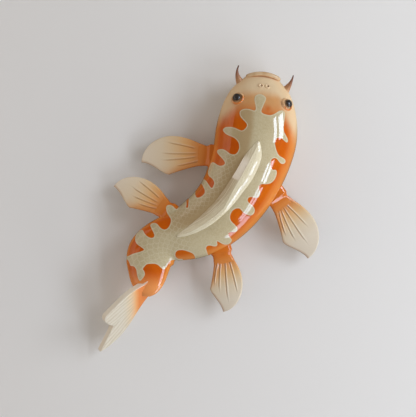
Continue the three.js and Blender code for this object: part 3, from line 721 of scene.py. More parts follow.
class SurfaceGraph(Graph):
    """The nodes of one material, with a principled shader at their end."""

    def __init__(self, name: str) -> None:
        """Starts a material with a plain shader.

        Args:
            name: The material's name.
        """
        self.material = bpy.data.materials.new(name)
        self.material.use_nodes = True
        super().__init__(self.material.node_tree)
        self.shader = self.node("ShaderNodeBsdfPrincipled", {}, {})
        self.output = self.node("ShaderNodeOutputMaterial", {}, {"Surface": self.shader.outputs["BSDF"]})

    def dress(self, colour: Any, roughness: Any, relief: Value, depth: float, **others: Any) -> None:
        """Feeds the shader.

        Args:
            colour: The base colour.
            roughness: The roughness.
            relief: A height in millimetres for the bump.
            depth: The bump's strength.
            others: Constants and the coat's weight, by socket name with underscores.
        """
        bump = self.node("ShaderNodeBump", {}, {"Strength": depth, "Distance": MM, "Height": relief})
        self.feed(self.shader.inputs["Base Color"], colour)
        self.feed(self.shader.inputs["Roughness"], roughness)
        self.feed(self.shader.inputs["Normal"], bump.outputs["Normal"])
        for name, value in others.items():
            self.feed(self.shader.inputs[name.replace("_", " ")], value)


class Finish:
    """A finish of clay or glaze, which lays the nodes of a material."""

    def paint(self, graph: SurfaceGraph) -> None:
        """Lays the nodes of the finish in a material's graph."""
        raise NotImplementedError

    def material(self, name: str) -> Material:
        """Makes a material with the finish.

        Args:
            name: The material's name.

        Returns:
            The material.
        """
        graph = SurfaceGraph(name)
        self.paint(graph)
        return graph.material


@dataclass(frozen=True)
class Markings:
    """Numbers at the corners of a glazed piece that its finish reads."""

    head: Pair = (10.0, 64.0)
    left_lag: float = 13.0
    left_flank: Pair = (0.55, 0.95)
    right_lag: float = 22.0
    right_flank: Pair = (0.5, 0.98)
    patch: Pair = (268.0, 110.0)
    patch_reach: Pair = (7.5, 9.0)
    patch_warmth: float = 0.72
    least: float = 4.0
    under: float = -0.05
    under_gap: float = 2.0

    def note(self, piece: Piece) -> None:
        """Stores the markings on a piece.

        Args:
            piece: A piece whose mesh is finished.
        """
        points = Bench.points(piece)
        station, across = SPINE.locate(points)
        height = -points[:, 1]
        half = np.maximum(FORM.half(station), self.least)
        reach = FORM.back(station) - FORM.girth_height
        beside = across / half
        angle = np.arctan2((height - FORM.girth_height) / np.maximum(reach, self.least), beside)
        depth = SADDLE.depth(points)
        hidden = -np.abs(depth) - self.under_gap
        seen = VIEW.project(points)
        spot = np.exp(-sum(((seen[:, i] - self.patch[i]) / self.patch_reach[i]) ** 2 for i in range(2)))
        lag = self.right_lag * smooth(*self.right_flank, beside)
        lag = lag + self.left_lag * smooth(*self.left_flank, -beside)
        warm = smooth(*self.head, station - lag)
        Bench.note(piece, "saddle", np.where(np.sin(angle) > self.under, depth, hidden))
        Bench.note(piece, "station", station)
        Bench.note(piece, "girth", (math.pi / 2 - angle) * 0.5 * (half + reach))
        Bench.note(piece, "flank", np.abs(np.cos(angle)))
        Bench.note(piece, "height", height)
        Bench.note(piece, "warmth", np.clip(np.maximum(warm, self.patch_warmth * spot), 0, 1))


@dataclass(frozen=True)
class BodyGlaze(Finish):
    """Cream glaze in a saddle over orange glaze, both shiny, and a satin beige slip on the head.

    A pair gives the places between which a colour fades in: along the spine, round the body from the middle
    of the back, up from the wall, out along a fin, in from the saddle's rim or, for edges and the head's
    flank, in shares of the half width.
    """

    cream: Colour = srgb(212, 200, 166)
    cream_dull: Colour = srgb(197, 181, 143)
    cream_rim: Colour = srgb(226, 217, 188)
    orange: Colour = srgb(218, 106, 4)
    orange_deep: Colour = srgb(200, 76, 4)
    orange_pale: Colour = srgb(246, 174, 86)
    tan: Colour = srgb(215, 160, 106)
    slip: Colour = srgb(230, 206, 170)
    # Painted light at the tail end of the body, which faces away from the window.
    end_painted_light: Colour = srgb(255, 170, 100)
    run_out: Colour = srgb(222, 140, 70)
    belly: Colour = srgb(200, 174, 140)
    # Painted shadow that the keel casts on the left of the back.
    cream_painted_shade: Colour = srgb(180, 150, 106)
    # Painted reflection: the pale pinkish facet on the keel's left face, where the glaze mirrors the bright
    # room.
    facet: Colour = srgb(255, 244, 226)
    speck: Colour = srgb(164, 138, 96)
    # The edge pairs and the fade place and weigh the painted highlight along the silhouette.
    right_edge: Pair = (0.68, 1.0)
    left_edge: Pair = (0.86, 0.99)
    head_flank: Pair = (0.45, 0.9)
    end_run: Pair = (270.0, 292.0)
    fin_run: Pair = (3.0, 13.0)
    belly_run: Pair = (22.0, 8.0)
    shade_near: Pair = (-2.0, -9.0)
    shade_far: Pair = (-34.0, -14.0)
    shade_end: Pair = (250.0, 200.0)
    net_start: Pair = (72.0, 96.0)
    net_left: Pair = (-10.0, -20.0)
    net_tail: Pair = (196.0, 216.0)
    rim_outer: Pair = (0.15, 0.45)
    rim_inner: Pair = (1.5, 0.8)
    scale_pitch: float = 6.0
    scale_length: float = 4.4
    scale_drift: float = 0.35
    fade: float = 0.88
    ripple: float = 0.8
    # Strength of the painted shadow of the keel.
    shade: float = 0.7
    streak: float = 0.0

    def scales(self, graph: SurfaceGraph) -> Value:
        """The net of scales, 1 on a line and 0 between.

        Args:
            graph: The finish's graph.

        Returns:
            The net.
        """
        drift = graph.noise(graph.place(), 90.0) * self.scale_drift
        along = graph.noted("station") / self.scale_length + drift
        row = along.math("FLOOR")
        around = graph.noted("girth") / self.scale_pitch + drift + row * 0.5
        beside = around.math("FRACT") - 0.5
        ahead = along - row
        arc = (beside * beside * 4.0 + ahead * ahead) ** 0.5
        return (arc - 1.0).math("ABSOLUTE").step(0.16, 0.04)

    def under(self, graph: SurfaceGraph, cloud: Value, grain: Value, warmth: Value) -> Socket:
        """The colour outside the saddle: orange glaze with painted highlights on its edges and painted
        light at its end, slip on the head and bare clay below.

        Args:
            graph: The finish's graph.
            cloud: Broad clouds.
            grain: Fine grain.
            warmth: How far slip has given way to orange.

        Returns:
            The colour.
        """
        flank, station = graph.noted("flank"), graph.noted("station")
        is_left = graph.noted("girth").step(1.0, -1.0)
        pool = graph.blend(cloud.step(0.35, 0.75) * 0.5 + grain * 0.1, self.orange, self.orange_deep)
        # Painted highlight: a paler orange along the silhouette, wider on the right, window side, where the
        # window lights the edges.
        bright = flank.step(*self.right_edge) * (1 - is_left) + flank.step(*self.left_edge) * is_left
        edge = bright * (1 - warmth.step(0.4, 1.0) * 0.35) * self.fade
        edge_lit = graph.blend(edge, pool, self.orange_pale)
        # Painted light: the tail end is lightened where it turns away from the window.
        end_lit = graph.blend(station.step(*self.end_run) * 0.85, edge_lit, self.end_painted_light)
        fired = graph.blend(graph.noted("out").step(*self.fin_run), end_lit, self.run_out)
        dusk = graph.blend(warmth.step(0.0, 0.3), self.slip, self.tan)
        cheek = graph.blend(0.12, self.slip, self.orange_pale)
        head = graph.blend(flank.step(*self.head_flank), dusk, cheek)
        glazed = graph.blend(warmth.step(0.35, 0.95), head, fired)
        return graph.blend(graph.noted("height").step(*self.belly_run), glazed, self.belly)

    def saddle(self, graph: SurfaceGraph, cloud: Value, grain: Value, net: Value) -> Socket:
        """The colour inside the saddle: mottled cream with the keel's painted shadow on its left, and the
        net of scales.

        Args:
            graph: The finish's graph.
            cloud: Broad clouds.
            grain: Fine grain.
            net: How far the net of scales shows.

        Returns:
            The colour.
        """
        girth, station = graph.noted("girth"), graph.noted("station")
        patchy = (grain * 0.9 + cloud * 0.8 - 0.55).step(0.0, 0.8)
        clouded = graph.blend(patchy, self.cream, self.cream_dull)
        specks = graph.noise(graph.place(), 1100.0, 1.0, 0.5).step(0.62, 0.72) * 0.35
        mottle = graph.blend(specks, clouded, self.speck)
        # Painted shadow: a browner band left of the keel, where it shades the back from the window.
        shade = girth.step(*self.shade_near) * girth.step(*self.shade_far) * station.step(*self.shade_end)
        shaded = graph.blend(shade * self.shade, mottle, self.cream_painted_shade)
        stroke = graph.noise(graph.joined(girth * 1.1, station * 0.04, 0.0), 1.0, 1.0)
        brushed = graph.blend(stroke.step(0.48, 0.62) * self.streak, shaded, self.cream_rim)
        # Painted reflection on the keel's facet.
        facet_lit = graph.blend(graph.noted("facet"), brushed, self.facet)
        return graph.blend(net, facet_lit, self.cream_rim)

    def paint(self, graph: SurfaceGraph) -> None:
        """Lays the nodes of the glazes.

        Args:
            graph: The material's graph.
        """
        at = graph.place()
        cloud = graph.noise(at, 45.0, 3.0, 0.55)
        grain = graph.noise(at, 520.0, 3.0, 0.6)
        wave = graph.noise(at, 108.0, 2.0, 0.5)
        depth = graph.noted("saddle") + (wave - 0.5) * 0.4
        warmth = graph.noted("warmth") + (cloud - 0.5) * 0.16
        girth, station = graph.noted("girth"), graph.noted("station")
        netted = girth.step(*self.net_left).math("MAXIMUM", station.step(*self.net_tail))
        net = self.scales(graph) * netted * station.step(*self.net_start) * 0.45
        rim = depth.step(*self.rim_outer) * depth.step(*self.rim_inner)
        cover = depth.step(-0.2, 0.25)
        cream = graph.blend(rim * 0.75, self.saddle(graph, cloud, grain, net), self.cream_rim)
        whole = graph.blend(cover, self.under(graph, cloud, grain, warmth), cream)
        gloss = (cover + warmth.step(0.1, 0.7)).math("MINIMUM", 1.0)
        pits = graph.noise(at, 330.0, 1.0) * 0.05 + grain * 0.02
        graph.dress(
            whole,
            0.52 - gloss * 0.2 + (grain - 0.5) * 0.1,
            cover * 0.22 - net * 0.08 + wave * self.ripple + pits,
            0.8,
            Coat_Weight=gloss * 0.85 + 0.12,
            Coat_Roughness=0.03,
            Coat_IOR=1.75,
            Specular_IOR_Level=0.04,
        )


@dataclass(frozen=True)
class FinSlip(Finish):
    """Dry beige slip on a fin, with orange glaze run out from its root and brown in its rays; painted
    highlights on its ribs, painted light on the tail's edge walls and painted shade along its scooped edge.

    The orange starts to fade at the start and is gone at the length, both distances out along the fin.
    """

    start: float
    length: float
    shades: Shades = (
        (0.0, srgb(222, 140, 70)),
        (0.13, srgb(223, 158, 94)),
        (0.27, srgb(224, 177, 121)),
        (0.45, srgb(224, 195, 154)),
        (0.65, srgb(224, 207, 180)),
        (1.0, srgb(226, 214, 195)),
    )
    tan: Colour = srgb(214, 140, 76)
    # Brown for the grooves of the rays and for the painted shade along the scooped edge.
    stain_and_painted_shade: Colour = srgb(176, 122, 76)
    # Painted highlight: the pale colour on the ribs beside the rays and on the tail's edge walls.
    crest: Colour = srgb(244, 236, 220)
    edge: Colour = srgb(200, 180, 150)
    hem_run: Pair = (10.0, 0.5)
    scoop_shade_run: Pair = (3.5, 0.6)
    furrow: float = 0.0
    pitch: float = 1.9
    rib: float = 0.45
    # Painted light and shade: scales the slip's colours, up for the left fins and down for the right ones,
    # to even out the window's light.
    painted_light_scale: float = 1.0

    def toned(self) -> list[tuple[float, Colour]]:
        """The shades, made lighter or darker by this fin's painted light and shade."""
        return [(stop, (*(self.painted_light_scale * part for part in shade[:3]), 1.0)) for stop, shade in self.shades]

    def paint(self, graph: SurfaceGraph) -> None:
        """Lays the nodes of the slip.

        Args:
            graph: The material's graph.
        """
        at = graph.place()
        cloud = graph.noise(at, 55.0, 4.0, 0.6)
        grain = graph.noise(at, 900.0, 3.0, 0.6)
        out = (graph.noted("out") - self.start) / (self.length - self.start) + (cloud - 0.5) * 0.1
        over, ray, trail, wall = (graph.noted(name) for name in ("over", "ray", "trail", "wall"))
        comb = over / self.pitch + graph.noise(graph.joined(out, over * 0.2, 0.0), 1.0)
        fibre = comb.math("PINGPONG", 0.5).step(0.34, 0.04)
        ramp = graph.node("ShaderNodeValToRGB", {"stops": self.toned()}, {0: out}).outputs["Color"]
        rubbed = graph.blend((grain * 0.7 + cloud * 0.5 - 0.35).step(0.2, 0.8) * 0.3, ramp, self.edge)
        hem = trail.step(*self.hem_run) * out.step(0.72, 0.3) * out.step(0.0, 0.12) * 0.7
        hemmed = graph.blend(hem, rubbed, self.tan)
        # Painted shade: a browner band along the scooped trailing edge near the tip, where the blade's
        # thickness lies in shade.
        scoop = trail.step(*self.scoop_shade_run) * out.step(0.62, 0.8) * 0.4
        scooped = graph.blend(scoop, hemmed, self.stain_and_painted_shade)
        carved = graph.blend(ray.step(0.2, 0.9) * 0.6, scooped, self.stain_and_painted_shade)
        # Painted highlight on the rib beside each groove, facing the window.
        rib_highlighted = graph.blend(ray.step(-0.1, -0.8) * self.rib, carved, self.crest)
        furrows = fibre * (1 - wall) * out.step(0.15, 0.6) * self.furrow
        # Painted light: the tail's edge walls are made paler, though they face away from the window.
        edge_walls_lit = graph.blend(wall * 0.75, graph.blend(furrows, rib_highlighted, self.edge), self.crest)
        gloss = out.step(0.22, 0.0)
        graph.dress(
            edge_walls_lit,
            0.6 - gloss * 0.3 + (grain - 0.5) * 0.15,
            grain * 0.03 + cloud * 0.25 - furrows * 0.5,
            0.8,
            Coat_Weight=gloss * 0.9,
            Coat_Roughness=0.05,
            Coat_IOR=1.7,
            Specular_IOR_Level=0.25,
        )


@dataclass(frozen=True)
class PlainClay(Finish):
    """One clay or glaze all over, with cloudy colour and a fine grain."""

    main: Colour
    other: Colour
    roughness: float
    coat: float = 0.0
    cloud_scale: float = 90.0
    grain_scale: float = 900.0
    grain_depth: float = 0.1

    def paint(self, graph: SurfaceGraph) -> None:
        """Lays the nodes of the clay.

        Args:
            graph: The material's graph.
        """
        at = graph.place()
        cloud = graph.noise(at, self.cloud_scale, 4.0, 0.6)
        grain = graph.noise(at, self.grain_scale, 3.0, 0.6)
        colour = graph.blend((cloud + grain * 0.4 - 0.2).step(0.2, 0.85), self.main, self.other)
        rough = self.roughness + (grain - 0.5) * 0.12
        relief = grain * self.grain_depth + cloud * 0.2
        graph.dress(colour, rough, relief, 0.7, Coat_Weight=self.coat, Coat_Roughness=0.06)


@dataclass(frozen=True)
class RimSlip(Finish):
    """The beige slip of the eye rims, lip and nostrils, with pooled orange glaze in the eye sockets and
    painted shade in the lip's crease and the nostrils' pits.
    """

    slip: Colour = srgb(230, 192, 146)
    shade: Colour = srgb(212, 158, 106)
    # Second colour in the socket: pooled glaze in the eye rims, painted shade in the lip's crease and the
    # nostrils' pits.
    pool: Colour = srgb(232, 140, 70)

    def paint(self, graph: SurfaceGraph) -> None:
        """Lays the nodes of the slip and the pooled glaze.

        Args:
            graph: The material's graph.
        """
        at = graph.place()
        cloud = graph.noise(at, 160.0, 3.0, 0.5)
        grain = graph.noise(at, 700.0, 3.0, 0.6)
        socket = graph.noted("socket")
        skin = graph.blend(cloud.step(0.35, 0.75), self.slip, self.shade)
        colour = graph.blend(socket.step(0.1, 0.9), skin, self.pool)
        relief = cloud * 0.2 + grain * 0.04
        coat = socket * 0.6 + 0.35
        graph.dress(colour, 0.42 - socket * 0.12, relief, 0.7, Coat_Weight=coat, Coat_Roughness=0.05)


@dataclass(frozen=True)
class HornGlaze(Finish):
    """Brown glaze on the barbels, tan at the foot and nearly black at the tip."""

    shades: Shades = (
        (0.1, srgb(220, 182, 140)),
        (0.35, srgb(194, 144, 104)),
        (0.65, srgb(150, 98, 70)),
        (1.0, srgb(80, 48, 38)),
    )

    def paint(self, graph: SurfaceGraph) -> None:
        """Lays the nodes of the glaze.

        Args:
            graph: The material's graph.
        """
        cloud = graph.noise(graph.place(), 220.0, 3.0, 0.55)
        out = graph.noted("out") + (cloud - 0.5) * 0.16
        ramp = graph.node("ShaderNodeValToRGB", {"stops": self.shades}, {0: out}).outputs["Color"]
        coat = out.step(0.4, 0.75)
        graph.dress(ramp, 0.45 - out * 0.12, cloud * 0.25, 0.6, Coat_Weight=coat, Coat_Roughness=0.06)


def finish_piece(piece: Piece, node: str, material: Material) -> None:
    """Dresses a piece and sets it in the place of its solid.

    Args:
        piece: The finished mesh.
        node: The solid that it stands for.
        material: Its material.
    """
    piece.data.materials.clear()
    piece.data.materials.append(material)
    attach(piece, "root")
    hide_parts(node)
    LOG.info("%s: %d corners", piece.name, len(piece.data.vertices))


@dataclass
class Body:
    """The hollow body with its flat back, the recess for the plate and the mouth."""

    sides: int = 150
    rings: int = 400
    wall: float = 6.0
    cavity: Pair = (24.0, 240.0)
    plate: Pair = (24.0, 214.0)
    plate_depth: float = 8.6
    plate_rim: float = 5.7
    plate_gap: float = 0.3
    blunt_hollow: int = 12
    blunt_plate: int = 6
    plate_end: float = 0.004
    recess_start: float = -1.0
    tool_sides: int = 40
    tool_rings: int = 60
    mouth: tuple[float, float, float] = (12.0, 4.4, 6.0)
    mouth_station: float = 2.0
    mouth_height: float = 30.0
    soft_edge: float = math.radians(38)

    def hollow(self) -> Piece:
        """The space inside the body.

        Returns:
            The solid that is cut out.
        """
        start, end = self.cavity

        def shape(around: Array, along: Array) -> Array:
            """The inner wall.

            Args:
                around: Shares of the way round.
                along: Shares of the way along.

            Returns:
                The points.
            """
            station = mix(start, end, along)
            ends = np.sqrt(np.clip(1 - (2 * along - 1) ** self.blunt_hollow, 0.05, 1))
            half = (FORM.half(station) - self.wall) * ends
            angle = TAU * around
            reach = np.where(np.sin(angle) > 0, FORM.back(station) - FORM.girth_height - self.wall, half)
            height = FORM.girth_height + reach * ends * np.sin(angle)
            return SPINE.place(station, half * np.cos(angle), height)

        return Bench.loft("hollow", shape, self.tool_sides, self.tool_rings)

    def recess(self) -> Piece:
        """The step that the back plate lies in.

        Returns:
            The solid that is cut out.
        """
        start, end = self.plate

        def shape(around: Array, along: Array) -> Array:
            """A slab with blunt ends.

            Args:
                around: Shares of the way round.
                along: Shares of the way along.

            Returns:
                The points.
            """
            place = -np.cos(math.pi * np.clip(along, self.plate_end, 1 - self.plate_end))
            station = mix(start - self.plate_gap, end + self.plate_gap, (place + 1) / 2)
            half = FORM.half(station)
            flat = half * np.sqrt(1 - ((FORM.girth_height - FORM.flat_height) / half) ** 2)
            width = (flat - self.plate_rim) * np.sqrt(1 - place**self.blunt_plate) + self.plate_gap
            turn = (around * 4) % 4
            whole = np.ones_like(turn)
            quarter = [turn < 1, turn < 2, turn < 3]
            across = np.select(quarter, [2 * turn - 1, whole, 5 - 2 * turn], -1.0)
            height = np.select(quarter, [0 * turn, turn - 1, whole], 4 - turn)
            return SPINE.place(station, across * width, mix(self.recess_start, self.plate_depth, height))

        return Bench.loft("recess", shape, self.tool_sides, self.tool_rings)

    def bowl(self) -> Piece:
        """The hollow of the mouth.

        Returns:
            The solid that is cut out.
        """
        bpy.ops.object.select_all(action="DESELECT")
        bpy.ops.mesh.primitive_uv_sphere_add(segments=48, ring_count=24, radius=1.0)
        piece = bpy.context.active_object
        ball = Bench.points(piece) * MM
        centre = SPINE.place(self.mouth_station, 0.0, self.mouth_height)
        wide, high, deep = self.mouth
        right, back = SPINE.right(0.0), SPINE.tailward(0.0)
        oval = ball[:, :1] * wide * right + ball[:, 1:2] * high * OUT + ball[:, 2:] * deep * back
        Bench.move(piece, centre + oval)
        bpy.ops.object.mode_set(mode="EDIT")
        bpy.ops.mesh.select_all(action="SELECT")
        bpy.ops.mesh.normals_make_consistent(inside=False)
        bpy.ops.object.mode_set(mode="OBJECT")
        return piece

    def build(self) -> None:
        """Models the body and dresses it."""
        piece = Bench.loft("koi_body", FORM.skin, self.sides, self.rings)
        for tool in (self.recess(), self.hollow(), self.bowl()):
            Bench.cut(piece, tool)
        Bench.keep_only(piece)
        bpy.ops.object.shade_smooth_by_angle(angle=self.soft_edge)
        Markings().note(piece)
        finish_piece(piece, "body_shell", BodyGlaze().material("body_glaze"))


@dataclass
class DorsalFin:
    """The low keel that sways along the back.

    Sections are rows of station, left foot, crest and right foot across the spine, and rise above the back.
    Going up a face, the foot's wall, its rounded edge and the flat face each take a share of the points.
    """

    sections: tuple[tuple[float, ...], ...] = (
        (76, 1, 2, 3.5, 0.8), (83, -3, 1.6, 7, 2.4), (93, -7.8, -0.6, 9.6, 3.6), (113, -11, -3.2, 8.8, 4.6),
        (136, -12.6, -3.8, 5.6, 5), (159, -12.2, -0.8, 4.4, 4.6), (182, -10.4, -0.8, 4, 4),
        (205, -5.6, -0.6, 2.6, 2.6), (217, -1.6, -0.4, 1, 1),
    )
    wall_share: float = 0.1
    edge_share: float = 0.15
    face_share: float = 0.53
    crest: float = 0.5
    sink: float = 3.0
    edge: float = 0.8
    foot_edge: float = 0.4
    step: float = 2.8
    step_run: tuple[float, float, float, float] = (90.0, 104.0, 122.0, 124.5)
    low_step: float = 0.5
    low_run: Pair = (150.0, 153.0)
    roll: float = 3.0
    lean: float = 0.3
    chine: Pair = (0.43, 0.67)
    chine_slopes: Pair = (0.16, 0.56)
    chine_run: tuple[float, float, float, float] = (124.0, 134.0, 172.0, 190.0)
    crest_blend: Pair = (-0.6, 0.4)
    steps: int = 40
    sides: int = 90
    rings: int = 220

    def facet(self, station: Array) -> Array:
        """How far the pale facet at the front of the left face is there, from 0 to 1."""
        return smooth(*self.step_run[:2], station) * (1 - smooth(*self.step_run[2:], station))

    def is_chined(self, station: Array) -> Array:
        """How far the right face has its flat chine, from 0 to 1."""
        return smooth(*self.chine_run[:2], station) * (1 - smooth(*self.chine_run[2:], station))

    def chined(self, down: Array, run: Array, drop: Array) -> Array:
        """The fall of a right face with a flat chine between its gentle top and its steep foot.

        Args:
            down: Shares of the way from the crest to the foot.
            run: The face's width.
            drop: Its whole fall.

        Returns:
            The fall below the crest.
        """
        first, second = self.chine
        gentle = self.chine_slopes[0] * run * np.clip(down, 0, first)
        flat = self.chine_slopes[1] * run * np.clip(down - first, 0, second - first)
        spent = run * (self.chine_slopes[0] * first + self.chine_slopes[1] * (second - first))
        return gentle + flat + np.maximum(drop - spent, 0) * np.clip((down - second) / (1 - second), 0, 1)

    def left_face(
        self, station: Array, up: Array, foot: Array, top: Array, rise: Array
    ) -> tuple[Array, Array]:
        """The left face: a step at its foot, a flat slope and a rounded crest.

        Args:
            station: Distances along the spine.
            up: Shares of the way from the foot to the crest.
            foot: The foot's distance across.
            top: The crest's distance across.
            rise: The crest's height above the back.

        Returns:
            Distances across and heights above the wall.
        """
        radius = np.minimum(self.crest, rise / 2)
        edge = np.minimum(self.edge, rise / 4)
        brink = top - radius
        lower = smooth(*self.step_run[2:], station) * (1 - smooth(*self.low_run, station))
        step = (self.step - edge) * (self.facet(station) + self.low_step * lower)
        slope = np.arctan2(rise - radius - edge - step, np.abs(foot - brink))
        flat_from = self.wall_share + self.edge_share
        turn_from = flat_from + self.face_share
        wall = np.clip(up / self.wall_share, 0, 1)
        bend = np.clip((up - self.wall_share) / self.edge_share, 0, 1) * (math.pi / 2 - slope)
        climb = np.clip((up - flat_from) / self.face_share, 0, 1)
        turn = np.clip((up - turn_from) / (1 - turn_from), 0, 1) * math.pi / 2
        brow = step + edge * np.sin(bend) - (self.sink + step) * (1 - wall)
        across = mix(foot + edge * (1 - np.cos(bend)), brink, climb)
        height = mix(brow, rise - radius, climb)
        across = np.where(turn > 0, top - radius * np.cos(turn), across)
        height = np.where(turn > 0, rise - radius + radius * np.sin(turn), height)
        return across, mix(FORM.surface(station, foot), FORM.back(station), climb) + height

    def right_face(
        self, station: Array, up: Array, foot: Array, top: Array, rise: Array
    ) -> tuple[Array, Array]:
        """The right face: rolled over from the crest, with a chine along its middle.

        Args:
            station: Distances along the spine.
            up: Shares of the way from the foot to the crest.
            foot: The foot's distance across.
            top: The crest's distance across.
            rise: The crest's height above the back.

        Returns:
            Distances across and heights above the wall.
        """
        wall = np.clip(up / self.wall_share, 0, 1)
        down = 1 - np.clip((up - self.wall_share) / (1 - self.wall_share), 0, 1)
        edge = self.foot_edge * np.minimum(self.edge, rise / 4)
        drop = rise - edge
        rolled = drop * mix(down**self.roll, down, self.lean)
        fall = mix(rolled, self.chined(down, np.abs(foot - top), drop), self.is_chined(station))
        height = rise - fall - (self.sink + edge) * (1 - wall)
        base = mix(FORM.back(station), FORM.surface(station, foot), down**2)
        return mix(top, foot, down), base + height

    def build(self) -> None:
        """Models the keel and dresses it."""
        line = rounded_run(np.array(self.sections, dtype=float), self.steps)

        def shape(around: Array, along: Array) -> Array:
            """The keel's faces from foot to foot over the crest.

            Args:
                around: Shares of the way round.
                along: Shares of the way along.

            Returns:
                The points.
            """
            station = mix(line[0, 0], line[-1, 0], along)
            _, left, top, right, rise = columns_at(station, line[:, 0], line)
            is_left = around < 0.5
            up = 1 - np.abs(2 * around - 1)
            left_rows = self.left_face(station, up, left, top, rise)
            right_rows = self.right_face(station, up, right, top, rise)
            across, height = (np.where(is_left, *rows) for rows in zip(left_rows, right_rows))
            return SPINE.place(station, across, height)

        piece = Bench.loft("koi_dorsal", shape, self.sides, self.rings)
        Markings().note(piece)
        station, across = SPINE.locate(Bench.points(piece))
        top = np.interp(station, line[:, 0], line[:, 2])
        # The facet note marks where the keel's left face is painted pale: painted reflection.
        Bench.note(piece, "facet", self.facet(station) * (1 - smooth(*self.crest_blend, across - top)))
        # Painted light: the keel's cream is paler than the body's so that its faces show brighter than the
        # back, as the window lights them; its painted keel shadow is weaker.
        glaze = BodyGlaze(
            cream=srgb(240, 231, 202),
            cream_dull=srgb(228, 215, 182),
            cream_rim=srgb(248, 240, 216),
            shade=0.6,
            streak=0.6,
        )
        finish_piece(piece, "dorsal_fin", glaze.material("dorsal_glaze"))


@dataclass(frozen=True)
class FinForm:
    """The plan of a paired fin: its neck, its spreading edges and its tip."""

    length: float
    root_half: float
    lead_spread: float
    lead_at: float
    trail_spread: float
    trail_at: float
    tip_drop: float
    neck: float = 6.0
    flare_power: float = 1.35
    scoop_power: float = 1.5

    def leading(self, along: Array) -> Array:
        """The leading edge, which swells and then rounds in to the tip.

        Args:
            along: Distances along the fin.

        Returns:
            How far the edge stands from the axis, towards the head.
        """
        share = np.clip((along - self.neck) / (self.lead_at - self.neck), 0, 1)
        swell = mix(self.root_half, self.lead_spread, np.sin(share * math.pi / 2))
        close = np.clip((along - self.lead_at) / (self.length - self.lead_at), 0, 1)
        tip = mix(-self.tip_drop, self.lead_spread, np.sqrt(1 - close**2))
        return np.where(along < self.lead_at, swell, tip)

    def trailing(self, along: Array) -> Array:
        """The trailing edge, which flares and is then scooped in to the tip.

        Args:
            along: Distances along the fin.

        Returns:
            How far the edge stands from the axis, below zero on this side of it.
        """
        share = np.clip((along - self.neck) / (self.trail_at - self.neck), 0, 1)
        flare = -mix(self.root_half, self.trail_spread, share**self.flare_power)
        close = np.clip((along - self.trail_at) / (self.length - self.trail_at), 0, 1)
        scoop = -mix(self.trail_spread, self.tip_drop, np.sin(close * math.pi / 2) ** self.scoop_power)
        return np.where(along < self.trail_at, flare, scoop)


PECTORAL = FinForm(79.0, 10.2, 20.7, 44.3, 22.3, 47.5, 10.2)
PELVIC = FinForm(69.5, 9.3, 16.3, 34.7, 20.9, 40.9, 12.2)


